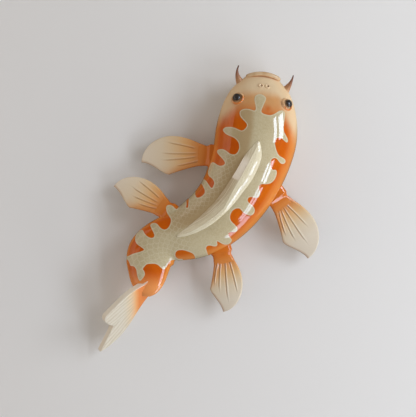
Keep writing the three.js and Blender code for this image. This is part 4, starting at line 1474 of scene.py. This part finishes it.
@dataclass
class PairedFin:
    """A blade with four carved rays and the cuff of clay round its root."""

    name: str
    form: FinForm
    station: float
    side: Side
    sweep: float
    rays: tuple[tuple[float, float, float, float], ...]
    run: float = 1.0
    # Strength of the painted highlight on the ribs.
    rib: float = 0.2
    # Painted light and shade: the scale of the slip's colours.
    painted_light_scale: float = 1.04
    cuff_end: float = 13.0
    slope: float = math.radians(12)
    root_rise: float = 2.0
    root_thick: float = 5.0
    tip_thick: float = 3.2
    camber: float = 3.0
    ray_depth: float = 0.5
    ray_half: float = 0.7
    ray_bow: float = 0.6
    ray_start: Pair = (-0.05, 0.14)
    ray_end: Pair = (0.7, 1.04)
    edge_round: float = 2.0
    edge_least: float = 0.3
    tip_round: float = 0.8
    cuff_wall: float = 1.6
    cuff_profile: Outline = (
        (-9.0, 1.5), (-1.0, 1.7), (1.2, 1.7), (2.8, 1.2), (4.5, 0.7), (6.5, 0.5), (8.5, 0.42), (11.0, 0.28),
        (13.0, 0.1), (14.5, 0.02), (14.0, -0.1),
    )
    cuff_round: float = 0.6
    cuff_steps: int = 10
    tip_gap: float = 0.1
    sides: int = 250
    rings: int = 130
    cuff_sides: int = 120
    cuff_rings: int = 60

    def axes(self) -> tuple[Array, Array, Array, Array]:
        """The directions that the fin is laid out by.

        Returns:
            Where it leaves the body, its axis, its direction towards the head and the way its face looks.
        """
        sideways = SPINE.right(self.station) * self.side.value
        tailward = SPINE.tailward(self.station)
        sweep = math.radians(self.sweep)
        flat = sideways * math.cos(sweep) + tailward * math.sin(sweep)
        leading = sideways * math.sin(sweep) - tailward * math.cos(sweep)
        axis = flat * math.cos(self.slope) - OUT * math.sin(self.slope)
        face = flat * math.sin(self.slope) + OUT * math.cos(self.slope)
        half = float(FORM.half(self.station))
        origin = SPINE.place(self.station, self.side.value * half, FORM.girth_height + self.root_rise)
        return origin, axis, leading, face

    def carving(self, along: Array, across: Array) -> Array:
        """The rays: up to 1 in a groove, down to -1 on the rib beside it, 0 elsewhere.

        Args:
            along: Distances along the fin.
            across: Distances from its axis.

        Returns:
            The strength of the carving.
        """
        cut = np.zeros_like(along)
        for start_along, start_across, end_along, end_across in self.rays:
            share = (along - start_along) / (end_along - start_along)
            inside = np.clip(share, 0, 1)
            bow = self.ray_bow * 4 * inside * (1 - inside) * np.sign(end_across - start_across)
            gap = across - mix(start_across, end_across, share) - bow
            fade = smooth(*self.ray_start, share) * (1 - smooth(*self.ray_end, share))
            groove = np.exp(-(((gap + self.ray_half) / self.ray_half) ** 2))
            rib = np.exp(-(((gap - self.ray_half) / self.ray_half) ** 2))
            stroke = (groove - rib) * fade
            cut = np.where(np.abs(cut) > np.abs(stroke), cut, stroke)
        return cut

    def blade(self) -> Piece:
        """Models the blade.

        Returns:
            The blade.
        """
        origin, axis, leading, face = self.axes()

        def shape(around: Array, along: Array) -> Array:
            """The blade's two faces and its rounded edges.

            Args:
                around: Shares of the way round.
                along: Shares of the way along.

            Returns:
                The points.
            """
            way = np.sin(np.clip(along, 0, 1) * math.pi / 2)
            out = mix(-self.form.neck, self.form.length - self.tip_gap, way)
            share, level = Bench.slab(around)
            low, high = self.form.trailing(out), self.form.leading(out)
            across = mix(low, high, share)
            reach = np.clip(out / self.form.length, 0, 1)
            thick = mix(self.root_thick, self.tip_thick, reach) / 2
            ahead = (self.form.length - out) * self.tip_round
            rim = np.minimum(np.minimum(across - low, high - across), ahead)
            ease = quarter_round(rim / self.edge_round)
            cut = np.where(level > 0.99, self.carving(out, across), 0.0)
            droop = self.camber * reach * (across / self.form.trail_spread) ** 2
            lift = level * thick * mix(self.edge_least, 1.0, ease) - droop - self.ray_depth * cut
            return origin + out[:, None] * axis + across[:, None] * leading + lift[:, None] * face

        piece = Bench.loft(f"koi_{self.name}_fin", shape, self.sides, self.rings)
        self.note(piece, origin, axis, leading)
        return piece

    def note(self, piece: Piece, origin: Array, axis: Array, leading: Array) -> None:
        """Stores what the blade's finish reads: the way out and across, and the carving.

        Args:
            piece: The blade.
            origin: Where it leaves the body.
            axis: Its axis.
            leading: Its direction towards the head.
        """
        offset = Bench.points(piece) - origin
        out, across = offset @ axis, offset @ leading
        is_front = Bench.normals(piece) @ OUT > 0.2
        Bench.note(piece, "out", out)
        Bench.note(piece, "over", across)
        Bench.note(piece, "trail", across - self.form.trailing(out))
        Bench.note(piece, "ray", np.where(is_front, self.carving(out, across), 0.0))

    def cuff(self) -> Piece:
        """Models the cuff.

        Returns:
            The cuff.
        """
        origin, axis, leading, face = self.axes()
        line = rounded_run(np.array(self.cuff_profile), self.cuff_steps)
        share = np.linspace(0, 1, len(line))

        def shape(around: Array, along: Array) -> Array:
            """A sleeve that flares to the body and ends in a soft bead.

            Args:
                around: Shares of the way round.
                along: Shares of the way along.

            Returns:
                The points.
            """
            out, wall = columns_at(along, share, line)
            wall = wall * self.cuff_wall
            angle = TAU * around
            wide = np.sign(np.cos(angle)) * np.abs(np.cos(angle)) ** self.cuff_round
            thick = np.sign(np.sin(angle)) * np.abs(np.sin(angle)) ** self.cuff_round
            low, high = self.form.trailing(out) - wall, self.form.leading(out) + wall
            across = mix(low, high, (wide + 1) / 2)
            lift = thick * (self.root_thick / 2 + wall)
            return origin + out[:, None] * axis + across[:, None] * leading + lift[:, None] * face

        return Bench.loft(f"koi_{self.name}_cuff", shape, self.cuff_sides, self.cuff_rings)

    def build(self) -> None:
        """Models the fin with its cuff and dresses both."""
        blade = self.blade()
        slip = FinSlip(self.cuff_end, self.form.length * self.run, rib=self.rib, painted_light_scale=self.painted_light_scale)
        finish_piece(blade, f"{self.name}_fin", slip.material(f"{self.name}_slip"))
        cuff = self.cuff()
        Markings().note(cuff)
        origin, axis, _, _ = self.axes()
        Bench.note(cuff, "out", (Bench.points(cuff) - origin) @ axis)
        # The cuffs take little of the painted edge highlight.
        glaze = BodyGlaze(orange=srgb(220, 116, 30), orange_deep=srgb(204, 98, 24), fade=0.15, ripple=0.6)
        finish_piece(cuff, f"{self.name}_cuff", glaze.material(f"{self.name}_cuff_glaze"))


def paired_fins() -> list[PairedFin]:
    """The four paired fins, with the rays carved in each: along and across at both ends of a ray.

    Returns:
        The fins.
    """
    pectoral_left = (
        (17, 7.7, 52, 13.5), (15.3, 2.5, 60.2, 1.6), (15.1, -1.3, 59, -6.6), (12.7, -5.4, 41.3, -12.6),
    )
    pectoral_right = (
        (12.5, 4, 49.9, 10.1), (14.2, 0, 66.1, -0.8), (15, -3.8, 54.4, -10.3), (15.1, -6.7, 43.2, -15.9),
    )
    pelvic_left = (
        (17.4, 7, 51.6, 9.3), (16, 2.6, 54.3, -0.3), (15.2, -0.6, 48.3, -8.4), (12.7, -3.4, 36.7, -11.9),
    )
    pelvic_right = (
        (13, 6.4, 51.2, 7.7), (12.5, 2, 60.1, -4.1), (11.4, -3, 46.8, -11.6), (10.7, -5.9, 38.3, -15.9),
    )
    # The right fins, on the window side, get stronger painted highlights on their ribs; the painted light
    # scale lightens the left fins and darkens the right ones.
    return [
        PairedFin("pectoral_left", PECTORAL, 108.0, Side.LEFT, 19.3, pectoral_left),
        PairedFin("pectoral_right", PECTORAL, 119.7, Side.RIGHT, 28.3, pectoral_right, 0.74, 0.5, 0.94),
        PairedFin("pelvic_left", PELVIC, 220.0, Side.LEFT, 41.3, pelvic_left, painted_light_scale=1.08),
        PairedFin("pelvic_right", PELVIC, 184.6, Side.RIGHT, 20.0, pelvic_right, 0.82, 0.5, 0.95),
    ]


@dataclass
class TailFin:
    """The forked slab that stands on its edge at the end of the body."""

    station: float = 290.0
    height: float = 26.0
    swing: float = math.radians(40.5)
    roll: float = math.radians(50)
    thickness: float = 7.0
    bevel: float = 1.4
    sink: float = 10.0
    root_far: float = 9.5
    root_near: float = 10.0
    near_half: float = 17.5
    near_length: float = 59.0
    near_round: float = 8.0
    far_half: float = 24.3
    far_belly: float = 64.0
    far_length: float = 89.0
    tip_drop: float = 19.0
    fork_length: float = 56.5
    fork_drop: float = 3.7
    end_wall: float = 0.02
    blush_edge: float = 139.5
    blush_reach: float = 17.0
    fan: float = 0.12
    soft_edge: float = math.radians(50)
    face_turn: Pair = (0.8, 0.97)
    shades: Shades = (
        (0.0, srgb(246, 146, 72)),
        (0.13, srgb(246, 168, 100)),
        (0.27, srgb(242, 190, 136)),
        (0.52, srgb(238, 214, 180)),
        (0.8, srgb(229, 218, 197)),
        (1.0, srgb(228, 220, 203)),
    )
    sides: int = 250
    rings: int = 150

    def axes(self) -> tuple[Array, Array, Array, Array]:
        """The directions that the tail is laid out by.

        Returns:
            Where it leaves the body, its axis, its near edge's direction and the way its face looks.
        """
        right, tailward = SPINE.right(self.station), SPINE.tailward(self.station)
        axis = tailward * math.cos(self.swing) - right * math.sin(self.swing)
        upward = -right * math.cos(self.swing) - tailward * math.sin(self.swing)
        near = upward * math.cos(self.roll) + OUT * math.sin(self.roll)
        return SPINE.place(self.station, 0.0, self.height), axis, near, np.cross(axis, near)

    @staticmethod
    def bend(points: Sequence[Pair], steps: int = 30) -> Array:
        """A Bezier line.

        Args:
            points: The line's ends, with the points that pull it between them.
            steps: Points on the line.

        Returns:
            The points, in rows.
        """
        share = np.linspace(0, 1, steps)[:, None]
        rows = [np.array(point, dtype=float)[None, :] for point in points]
        while len(rows) > 1:
            rows = [mix(start, end, share) for start, end in zip(rows, rows[1:])]
        return rows[0]

    def far_edge(self) -> Array:
        """The edge at the wall, from the root to the longer tip.

        Returns:
            Its points along the axis and towards the near edge.
        """
        belly = self.far_belly
        root, side = -self.root_far, -self.far_half
        tip = (self.far_length, -self.tip_drop)
        return np.vstack([
            self.bend([(-self.sink, root), (0, root)], 10),
            self.bend([(0, root), (belly * 0.35, root), (belly * 0.65, side), (belly, side)]),
            self.bend([(belly, side), (mix(belly, self.far_length, 0.6), side), tip]),
        ])

    def near_edge(self) -> Array:
        """The edge at the viewer, from the root to the shorter tip.

        Returns:
            Its points along the axis and towards the near edge.
        """
        length, side = self.near_length, self.near_half
        corner = (length - self.near_round, side)
        return np.vstack([
            self.bend([(-self.sink, self.root_far), (0, self.root_near)], 10),
            self.bend([(0, self.root_near), (length * 0.25, side), (length * 0.5, side)]),
            self.bend([(length * 0.5, side), corner], 10),
            self.bend([corner, (length, side), (length, side - self.near_round)]),
        ])

    def forked_end(self) -> Array:
        """The end, from the longer tip through the fork to the shorter tip.

        Returns:
            Its points along the axis and towards the near edge.
        """
        tip, fork = (self.far_length, -self.tip_drop), (self.fork_length, -self.fork_drop)
        pull = (mix(self.fork_length, self.far_length, 0.5), mix(-self.fork_drop, -self.tip_drop, 0.45))
        near_tip = (self.near_length, self.near_half - self.near_round)
        return np.vstack([
            self.bend([tip, pull, fork]),
            self.bend([fork, (self.near_length, 0), near_tip]),
        ])

    def plan(self, out: Array, over: Array) -> Array:
        """The slab's plan between its four edges.

        Args:
            out: Shares of the way from the root to the forked end.
            over: Shares of the way from the far edge to the near one.

        Returns:
            Points along the axis and towards the near edge.
        """
        far, near, end = self.far_edge(), self.near_edge(), self.forked_end()
        along, beside = out[:, None], over[:, None]
        root = np.array([far[0], near[0]])
        far_row, near_row = (columns_at(out, walked(line), line).T for line in (far, near))
        root_row, end_row = (columns_at(over, walked(line), line).T for line in (root, end))
        corners = mix(mix(far[0], near[0], beside), mix(end[0], end[-1], beside), along)
        return mix(far_row, near_row, beside) + mix(root_row, end_row, along) - corners

    def build(self) -> None:
        """Models the tail and dresses it."""
        origin, axis, near, face = self.axes()
        outline = np.vstack([self.far_edge(), self.forked_end(), self.near_edge()[::-1]])

        def shape(around: Array, along: Array) -> Array:
            """The slab's two faces with eased edges.

            Args:
                around: Shares of the way round.
                along: Shares of the way along.

            Returns:
                The points.
            """
            over, level = Bench.slab(around)
            way = np.clip(along / (1 - self.end_wall), 0, 1)
            close = 1 - np.clip((along - 1 + self.end_wall) / self.end_wall, 0, 1)
            plan = self.plan(eased(way), over)
            gap = np.where(way < 1, gap_to_line(plan, outline), 0.0)
            half = self.thickness / 2 - self.bevel * (1 - quarter_round(gap / self.bevel))
            lift = level * half * close
            return origin + plan[:, :1] * axis + plan[:, 1:] * near + lift[:, None] * face

        piece = Bench.loft("koi_tail", shape, self.sides, self.rings)
        Bench.keep_only(piece)
        bpy.ops.object.shade_smooth_by_angle(angle=self.soft_edge)
        points = Bench.points(piece)
        out, over = (points - origin) @ axis, (points - origin) @ near
        facing = np.abs(Bench.normals(piece) @ face)
        Bench.note(piece, "out", (self.blush_edge - VIEW.project(points)[:, 0]) / self.blush_reach)
        Bench.note(piece, "over", over - self.fan * out * np.sign(over + self.fork_drop))
        Bench.note(piece, "trail", np.full(len(points), self.far_half * 2))
        # Marks the tail's edge walls, which the slip paints paler: painted light.
        Bench.note(piece, "wall", 1 - smooth(*self.face_turn, facing))
        slip = FinSlip(0.0, 1.0, self.shades, edge=srgb(200, 185, 158), furrow=0.55, pitch=4.4)
        finish_piece(piece, "tail_fin", slip.material("tail_slip"))


@dataclass
class Face:
    """The lip, the eyes in their rims, the nostrils and the barbels."""

    across: float = 2.5
    turn: float = math.radians(11)
    lip_station: float = 1.0
    lip_half_width: float = 16.5
    lip_half_height: float = 6.0
    lip_height: float = 30.0
    lip_roll: float = 2.7
    lip_sweep: float = 40.0
    lip_across: float = 1.2
    lip_steps: int = 96
    # The seam and its strength place the painted shade in the crease behind the lip.
    lip_seam: Pair = (0.9, 2.6)
    lip_crease_shade: float = 0.8
    eyes: dict[Side, Pair] = field(
        default_factory=lambda: {Side.LEFT: (31.2, -24.6), Side.RIGHT: (32.2, 29.4)}
    )
    eye_tilt: float = math.radians(33)
    eye_lean: float = math.radians(20)
    eye_radius: float = 4.3
    eye_lift: float = 1.9
    eye_flat: float = 0.6
    eye_shift: float = 0.7
    eye_rim: Outline = (
        (8.2, -5.0), (7.7, -1.2), (7.1, 0.6), (6.4, 1.45), (5.8, 1.5), (5.2, 0.9), (4.9, -0.3), (4.8, -2.0),
        (4.8, -5.0),
    )
    rim_inner: Pair = (6.6, 8.0)
    rim_least: float = 0.2
    nostril_station: float = 14.5
    nostril_across: float = 3.6
    nostril_drift: float = 0.6
    nostril_hole: float = 1.2
    nostril_ring: Outline = (
        (3.5, -0.8), (3.1, 0.1), (2.6, 0.75), (2.1, 1.0), (1.6, 0.75), (1.1, 0.15), (0.7, 0.05),
        (0.01, 0.04),
    )
    barbels: dict[Side, tuple[tuple[float, float, float], ...]] = field(
        default_factory=lambda: {
            Side.LEFT: ((14.5, -20.3, 25), (4.5, -31, 31), (-6, -26.8, 38)),
            Side.RIGHT: ((19, 24.2, 25), (8, 33, 31), (-1, 33.4, 38)),
        }
    )
    barbel_radius: Pair = (6.2, 0.7)
    barbel_taper: float = 1.8
    barbel_steps: int = 48
    barbel_tip: float = 0.05

    @staticmethod
    def square_to(axis: Array) -> tuple[Array, Array]:
        """Two directions square to an axis and to each other.

        Args:
            axis: The axis.

        Returns:
            The directions.
        """
        first = np.cross(axis, np.array([0.0, 0.0, 1.0]))
        first = first / np.linalg.norm(first)
        return first, np.cross(axis, first)

    def turned(
        self,
        name: str,
        profile: Sequence[Pair],
        seat: Array,
        axis: Array,
        sides: int,
        steps: int,
        drift: Any = 0.0,
    ) -> Piece:
        """A piece turned round an axis.

        Args:
            name: The piece's name.
            profile: Radius and height of the points of half its section.
            seat: Where it sits.
            axis: The way it points.
            sides: Faces round it.
            steps: Faces between two points of the profile.
            drift: How far its middle stands off its rim.

        Returns:
            The piece.
        """
        line = rounded_run(np.array(profile, dtype=float), steps)
        share = np.linspace(0, 1, len(line))
        first, second = self.square_to(axis)
        outer = float(line[:, 0].max())

        def shape(around: Array, along: Array) -> Array:
            """The turned surface.

            Args:
                around: Shares of the way round.
                along: Shares of the way along.

            Returns:
                The points.
            """
            radius, height = columns_at(along, share, line)
            angle = TAU * around
            way = np.cos(angle)[:, None] * first + np.sin(angle)[:, None] * second
            off = (1 - radius / outer)[:, None] * drift
            return seat + way * radius[:, None] + height[:, None] * axis + off

        return Bench.loft(name, shape, sides, len(line) - 1)

    def tube(self, name: str, line: Array, radius: Array, sides: int, closed: bool) -> Piece:
        """A roll of clay along a line.

        Args:
            name: The piece's name.
            line: The points of its middle.
            radius: Its radius at each.
            sides: Faces round it.
            closed: Whether it goes round to its start.

        Returns:
            The piece.
        """
        if closed:
            ahead = np.roll(line, -1, axis=0) - np.roll(line, 1, axis=0)
        else:
            ahead = np.gradient(line, axis=0)
        ahead = ahead / np.linalg.norm(ahead, axis=1)[:, None]
        beside = np.cross(ahead, SPINE.tailward(0.0) if closed else OUT)
        beside = beside / np.linalg.norm(beside, axis=1)[:, None]
        above = np.cross(beside, ahead)
        if closed:
            line, radius = np.vstack([line, line[:1]]), np.append(radius, radius[0])
            beside, above = np.vstack([beside, beside[:1]]), np.vstack([above, above[:1]])
        share = np.linspace(0, 1, len(line))

        def shape(around: Array, along: Array) -> Array:
            """The roll's surface.

            Args:
                around: Shares of the way round.
                along: Shares of the way along.

            Returns:
                The points.
            """
            middle, wide, high = (columns_at(along, share, rows).T for rows in (line, beside, above))
            size = np.interp(along, share, radius)[:, None]
            angle = (TAU * around)[:, None]
            return middle + (wide * np.cos(angle) + high * np.sin(angle)) * size

        return Bench.loft(name, shape, sides, len(line) - 1)

    def lip(self) -> None:
        """Models the roll of clay round the mouth."""
        angle = np.linspace(0, TAU, self.lip_steps, endpoint=False)
        across = self.lip_half_width * np.cos(angle)
        station = self.lip_station + across**2 / (2 * self.lip_sweep)
        height = self.lip_height + self.lip_half_height * np.sin(angle)
        line = SPINE.place(station, across + self.lip_across, height)
        piece = self.tube("koi_lip", line, np.full(self.lip_steps, self.lip_roll), 28, True)
        station, across = SPINE.locate(Bench.points(piece))
        behind = station - self.lip_station - (across - self.lip_across) ** 2 / (2 * self.lip_sweep)
        # Painted shade: a browner band in the crease behind the lip.
        Bench.note(piece, "socket", smooth(*self.lip_seam, behind) * self.lip_crease_shade)
        slip = RimSlip(srgb(226, 196, 156), srgb(210, 172, 128), srgb(196, 128, 78))
        finish_piece(piece, "lip", slip.material("lip_slip"))

    def eye(self, side: Side) -> None:
        """Models an eye and its rim.

        Args:
            side: Which eye.
        """
        station, across = self.eyes[side]
        seat = SPINE.place(station, across, float(FORM.surface(station, across)))
        tilt = self.turn + side.value * self.eye_tilt
        right, tailward = SPINE.right(station), SPINE.tailward(station)
        axis = (OUT * math.cos(tilt) + right * math.sin(tilt)) * math.cos(self.eye_lean)
        axis = axis - tailward * math.sin(self.eye_lean)
        name = f"eye_rim_{side.label}"
        piece = self.turned(f"koi_{name}", self.eye_rim, seat, axis, 72, 5)
        offset = Bench.points(piece) - seat
        radius = np.linalg.norm(offset - (offset @ axis)[:, None] * axis, axis=1)
        inward = (offset @ tailward + 0.7 * (offset @ right)) / (1.2 * np.maximum(radius, 0.1))
        inner = 1 - smooth(*self.rim_inner, radius)
        Bench.note(piece, "socket", inner * mix(self.rim_least, 1.0, smooth(-0.3, 0.6, inward)))
        finish_piece(piece, name, RimSlip().material(f"{name}_slip"))
        angle = np.linspace(0.001, math.radians(120), 14)
        dome = self.eye_radius * np.stack([np.sin(angle), self.eye_flat * np.cos(angle)], axis=1)
        middle = seat + axis * self.eye_lift + (right * side.value - tailward) * self.eye_shift
        bead = self.turned(f"koi_eye_{side.label}", dome, middle, axis, 56, 2)
        glass = PlainClay(srgb(52, 47, 44), srgb(66, 60, 56), 0.2, 1.0, 200.0, 700.0, 0.01)
        finish_piece(bead, f"eye_{side.label}", glass.material(f"eye_{side.label}_glaze"))

    def nostril(self, side: Side) -> None:
        """Models a pinched pellet with its hole.

        Args:
            side: Which nostril.
        """
        across = self.across + side.value * self.nostril_across
        station = self.nostril_station
        level = float(FORM.surface(station, across))
        seat = SPINE.place(station, across, level)
        rise = float(FORM.surface(station + 1, across)) - level
        fall = float(FORM.surface(station, across + 1)) - level
        right = SPINE.right(station)
        axis = OUT - rise * SPINE.tailward(station) - fall * right
        axis = axis / np.linalg.norm(axis)
        name = f"nostril_{side.label}"
        drift = right * self.nostril_drift
        piece = self.turned(f"koi_{name}", self.nostril_ring, seat, axis, 40, 5, drift)
        offset = Bench.points(piece) - seat
        reach = np.hypot(offset @ right - self.nostril_hole, offset[:, 2])
        # Painted shade: the dark spot on the right of the pit stands for its inner wall in shade.
        Bench.note(piece, "socket", 1 - smooth(0.5, 1.2, reach))
        slip = RimSlip(srgb(234, 206, 168), srgb(226, 194, 154), srgb(138, 94, 62))
        finish_piece(piece, name, slip.material(f"{name}_slip"))

    def barbel(self, side: Side) -> None:
        """Models a small horn beside the mouth.

        Args:
            side: Which barbel.
        """
        corners = [SPINE.place(*corner) for corner in self.barbels[side]]
        share = np.linspace(0, 1, self.barbel_steps)[:, None]
        line = (1 - share) ** 2 * corners[0] + 2 * share * (1 - share) * corners[1] + share**2 * corners[2]
        root, tip = self.barbel_radius
        radius = mix(tip, root, (1 - share[:, 0]) ** self.barbel_taper)
        radius = radius * np.sqrt(np.clip((1.002 - share[:, 0]) / self.barbel_tip, 0.03, 1))
        name = f"barbel_{side.label}"
        piece = self.tube(f"koi_{name}", line, radius, 24, False)
        spread = np.linalg.norm(Bench.points(piece)[:, None, :] - line[None, ::4, :], axis=2)
        Bench.note(piece, "out", share[::4, 0][np.argmin(spread, axis=1)])
        finish_piece(piece, name, HornGlaze().material(f"{name}_glaze"))

    def build(self) -> None:
        """Models the pieces of the face and dresses them."""
        self.lip()
        for side in Side:
            self.eye(side)
            self.nostril(side)
            self.barbel(side)


@dataclass
class Back:
    """The back plate and the felt pads, whose solids stay as they are."""

    pads: tuple[str, ...] = ("wall_pad_head", "wall_pad_left", "wall_pad_right")

    def build(self) -> None:
        """Dresses the solids at the back."""
        clay = PlainClay(srgb(184, 160, 132), srgb(150, 122, 96), 0.85, 0.0, 40.0, 700.0, 0.25)
        felt = PlainClay(srgb(96, 90, 82), srgb(66, 62, 58), 0.97, 0.0, 300.0, 2400.0, 0.6)
        rows = [("back_plate", clay.material("back_plate_clay"))]
        rows += [(pad, felt.material(f"{pad}_felt")) for pad in self.pads]
        for name, material in rows:
            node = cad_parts[name]
            for place in node.material_slots:
                place.material = material
            LOG.info("%s: solid kept", name)


@dataclass(frozen=True)
class Pane:
    """A bright sheet that lights the fish: its place and size as seen from it in degrees, and its light."""

    bearing: float
    rise: float
    wide: float
    tall: float
    radiance: float = 8.3
    colour: Colour = srgb(240, 246, 255)
    mirrored: bool = True

    @property
    def is_window(self) -> bool:
        """Whether it stands on the window's side."""
        return self.bearing > 0


@dataclass
class Studio:
    """The pale wall and floor, the window light with its fill and the camera."""

    wall: Colour = srgb(207, 208, 210)
    wall_seen: Colour = srgb(238, 238, 238)
    wall_mirrored: Colour = srgb(118, 116, 112)
    panes: tuple[Pane, ...] = (
        Pane(46.0, 19.0, 6.4, 28.0),
        Pane(61.5, 18.5, 12.0, 26.0),
        Pane(46.0, -15.0, 5.0, 11.0),
        Pane(46.0, -33.0, 5.0, 20.0, 6.0),
        Pane(55.5, -16.0, 7.0, 13.0),
        Pane(55.5, -36.0, 7.0, 21.0, 6.0),
        Pane(74.0, -52.0, 16.0, 18.0, 4.0),
        Pane(77.0, -4.0, 14.0, 60.0, 2.3, srgb(255, 244, 228), False),
        Pane(-65.0, 10.0, 12.0, 66.0, 0.5, srgb(255, 236, 226)),
        Pane(-80.5, 10.0, 19.0, 66.0, 0.36, srgb(255, 236, 226)),
        Pane(-80.0, 8.0, 30.0, 60.0, 0.75, srgb(255, 226, 196), False),
        Pane(-53.0, -13.0, 22.0, 34.0, 0.45, srgb(255, 236, 226)),
    )
    pane_distance: float = 1.6
    gleam: Colour = srgb(214, 231, 255)
    gleam_share: float = 0.95
    air: float = 0.36
    air_colour: Colour = srgb(255, 249, 240)
    air_mirrored: float = 0.04
    sheet_side: float = 6000.0
    floor_drop: float = 2000.0
    floor_middle: float = -1500.0
    wall_gap: float = 0.3
    back_gap: float = 11.0

    def sheet(self, name: str, centre: Array, turn: float) -> None:
        """A plain pale sheet, seen from one side only, that lets light reach the back of the fish.

        Args:
            name: Its name.
            centre: Its middle, in millimetres.
            turn: Its turn about the x axis.
        """
        bpy.ops.object.select_all(action="DESELECT")
        side = self.sheet_side * MM
        bpy.ops.mesh.primitive_plane_add(size=side, location=centre * MM, rotation=(turn, 0, 0))
        piece = bpy.context.active_object
        piece.name = name
        graph = SurfaceGraph(f"{name}_paint")
        grain = graph.noise(graph.place(), 300.0, 3.0, 0.6)
        path = graph.node("ShaderNodeLightPath", {}, {}).outputs
        seen = graph.blend(path["Is Camera Ray"], self.wall, self.wall_seen)
        graph.dress(graph.blend(path["Is Glossy Ray"], seen, self.wall_mirrored), 0.9, grain * 0.1, 0.3)
        clear = graph.node("ShaderNodeBsdfTransparent", {}, {})
        behind = Value(graph, graph.node("ShaderNodeNewGeometry", {}, {}).outputs["Backfacing"])
        close = Value(graph, path["Ray Length"]).math("LESS_THAN", self.back_gap * MM)
        open_share = behind.math("MAXIMUM", close * (1 - Value(graph, path["Is Camera Ray"])))
        shaders = {0: open_share, 1: graph.shader.outputs[0], 2: clear.outputs[0]}
        both = graph.node("ShaderNodeMixShader", {}, shaders)
        graph.feed(graph.output.inputs["Surface"], both.outputs[0])
        piece.data.materials.append(graph.material)

    def lamp(self, name: str, pane: Pane, lights: bool, mirrored: bool) -> None:
        """Hangs a lamp in the place of a pane, facing the fish.

        Args:
            name: Its name.
            pane: The pane.
            lights: Whether it lights the fish.
            mirrored: Whether the glaze mirrors it.
        """
        distance = self.pane_distance * (1.0 if lights else self.gleam_share)
        wide, tall = (2 * distance * math.tan(math.radians(side) / 2) for side in (pane.wide, pane.tall))
        light = bpy.data.lights.new(name, "AREA")
        light.shape = "RECTANGLE"
        light.size, light.size_y = wide, tall
        light.energy = pane.radiance * math.pi * wide * tall
        light.color = pane.colour[:3] if lights else self.gleam[:3]
        turn, lift = math.radians(pane.bearing), math.radians(pane.rise)
        way = np.array([math.sin(turn) * math.cos(lift), -math.cos(turn) * math.cos(lift), math.sin(lift)])
        lamp = bpy.data.objects.new(name, light)
        lamp.location = VIEW.aim * MM + way * distance
        lamp.rotation_euler = (math.pi / 2 - lift, 0.0, turn)
        lamp.visible_glossy, lamp.visible_diffuse = mirrored, lights
        bpy.context.collection.objects.link(lamp)

    def surround(self) -> None:
        """Fills the room with even light, which shows only faintly in the glaze."""
        world = bpy.data.worlds.new("studio_air")
        world.use_nodes = True
        graph = Graph(world.node_tree)
        mirrored = graph.node("ShaderNodeLightPath", {}, {}).outputs["Is Glossy Ray"]
        level = self.air + Value(graph, mirrored) * (self.air_mirrored - self.air)
        air = graph.node("ShaderNodeBackground", {}, {"Color": self.air_colour, "Strength": level})
        graph.node("ShaderNodeOutputWorld", {}, {"Surface": air.outputs["Background"]})
        bpy.context.scene.world = world

    def look(self) -> None:
        """Sets up the camera."""
        camera = bpy.data.cameras.new("photo_camera")
        camera.lens, camera.sensor_width = VIEW.lens, VIEW.sensor
        camera.clip_end = 100.0
        holder = bpy.data.objects.new("photo_camera", camera)
        holder.location = VIEW.eye * MM
        holder.rotation_euler = (math.pi / 2, 0.0, 0.0)
        bpy.context.collection.objects.link(holder)
        bpy.context.scene.camera = holder

    def build(self) -> None:
        """Sets up the studio."""
        across, _, height = VIEW.aim
        self.sheet("studio_wall", np.array([across, self.wall_gap, height]), math.pi / 2)
        self.sheet("studio_floor", np.array([across, self.floor_middle, height - self.floor_drop]), 0.0)
        for number, pane in enumerate(self.panes, 1):
            is_cold = pane.mirrored and pane.is_window
            self.lamp(f"pane_{number}", pane, True, pane.mirrored and not is_cold)
            if is_cold:
                self.lamp(f"gleam_{number}", pane, False, True)
        self.surround()
        self.look()
        bpy.context.scene.view_settings.view_transform = "Standard"


def main() -> None:
    """Builds the fish piece by piece, then the studio round it."""
    logging.basicConfig(level=logging.INFO, format="%(name)s: %(message)s")
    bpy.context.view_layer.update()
    Body().build()
    DorsalFin().build()
    for fin in paired_fins():
        fin.build()
    TailFin().build()
    Face().build()
    Back().build()
    Studio().build()
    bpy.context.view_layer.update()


if __name__ == "__main__":
    main()
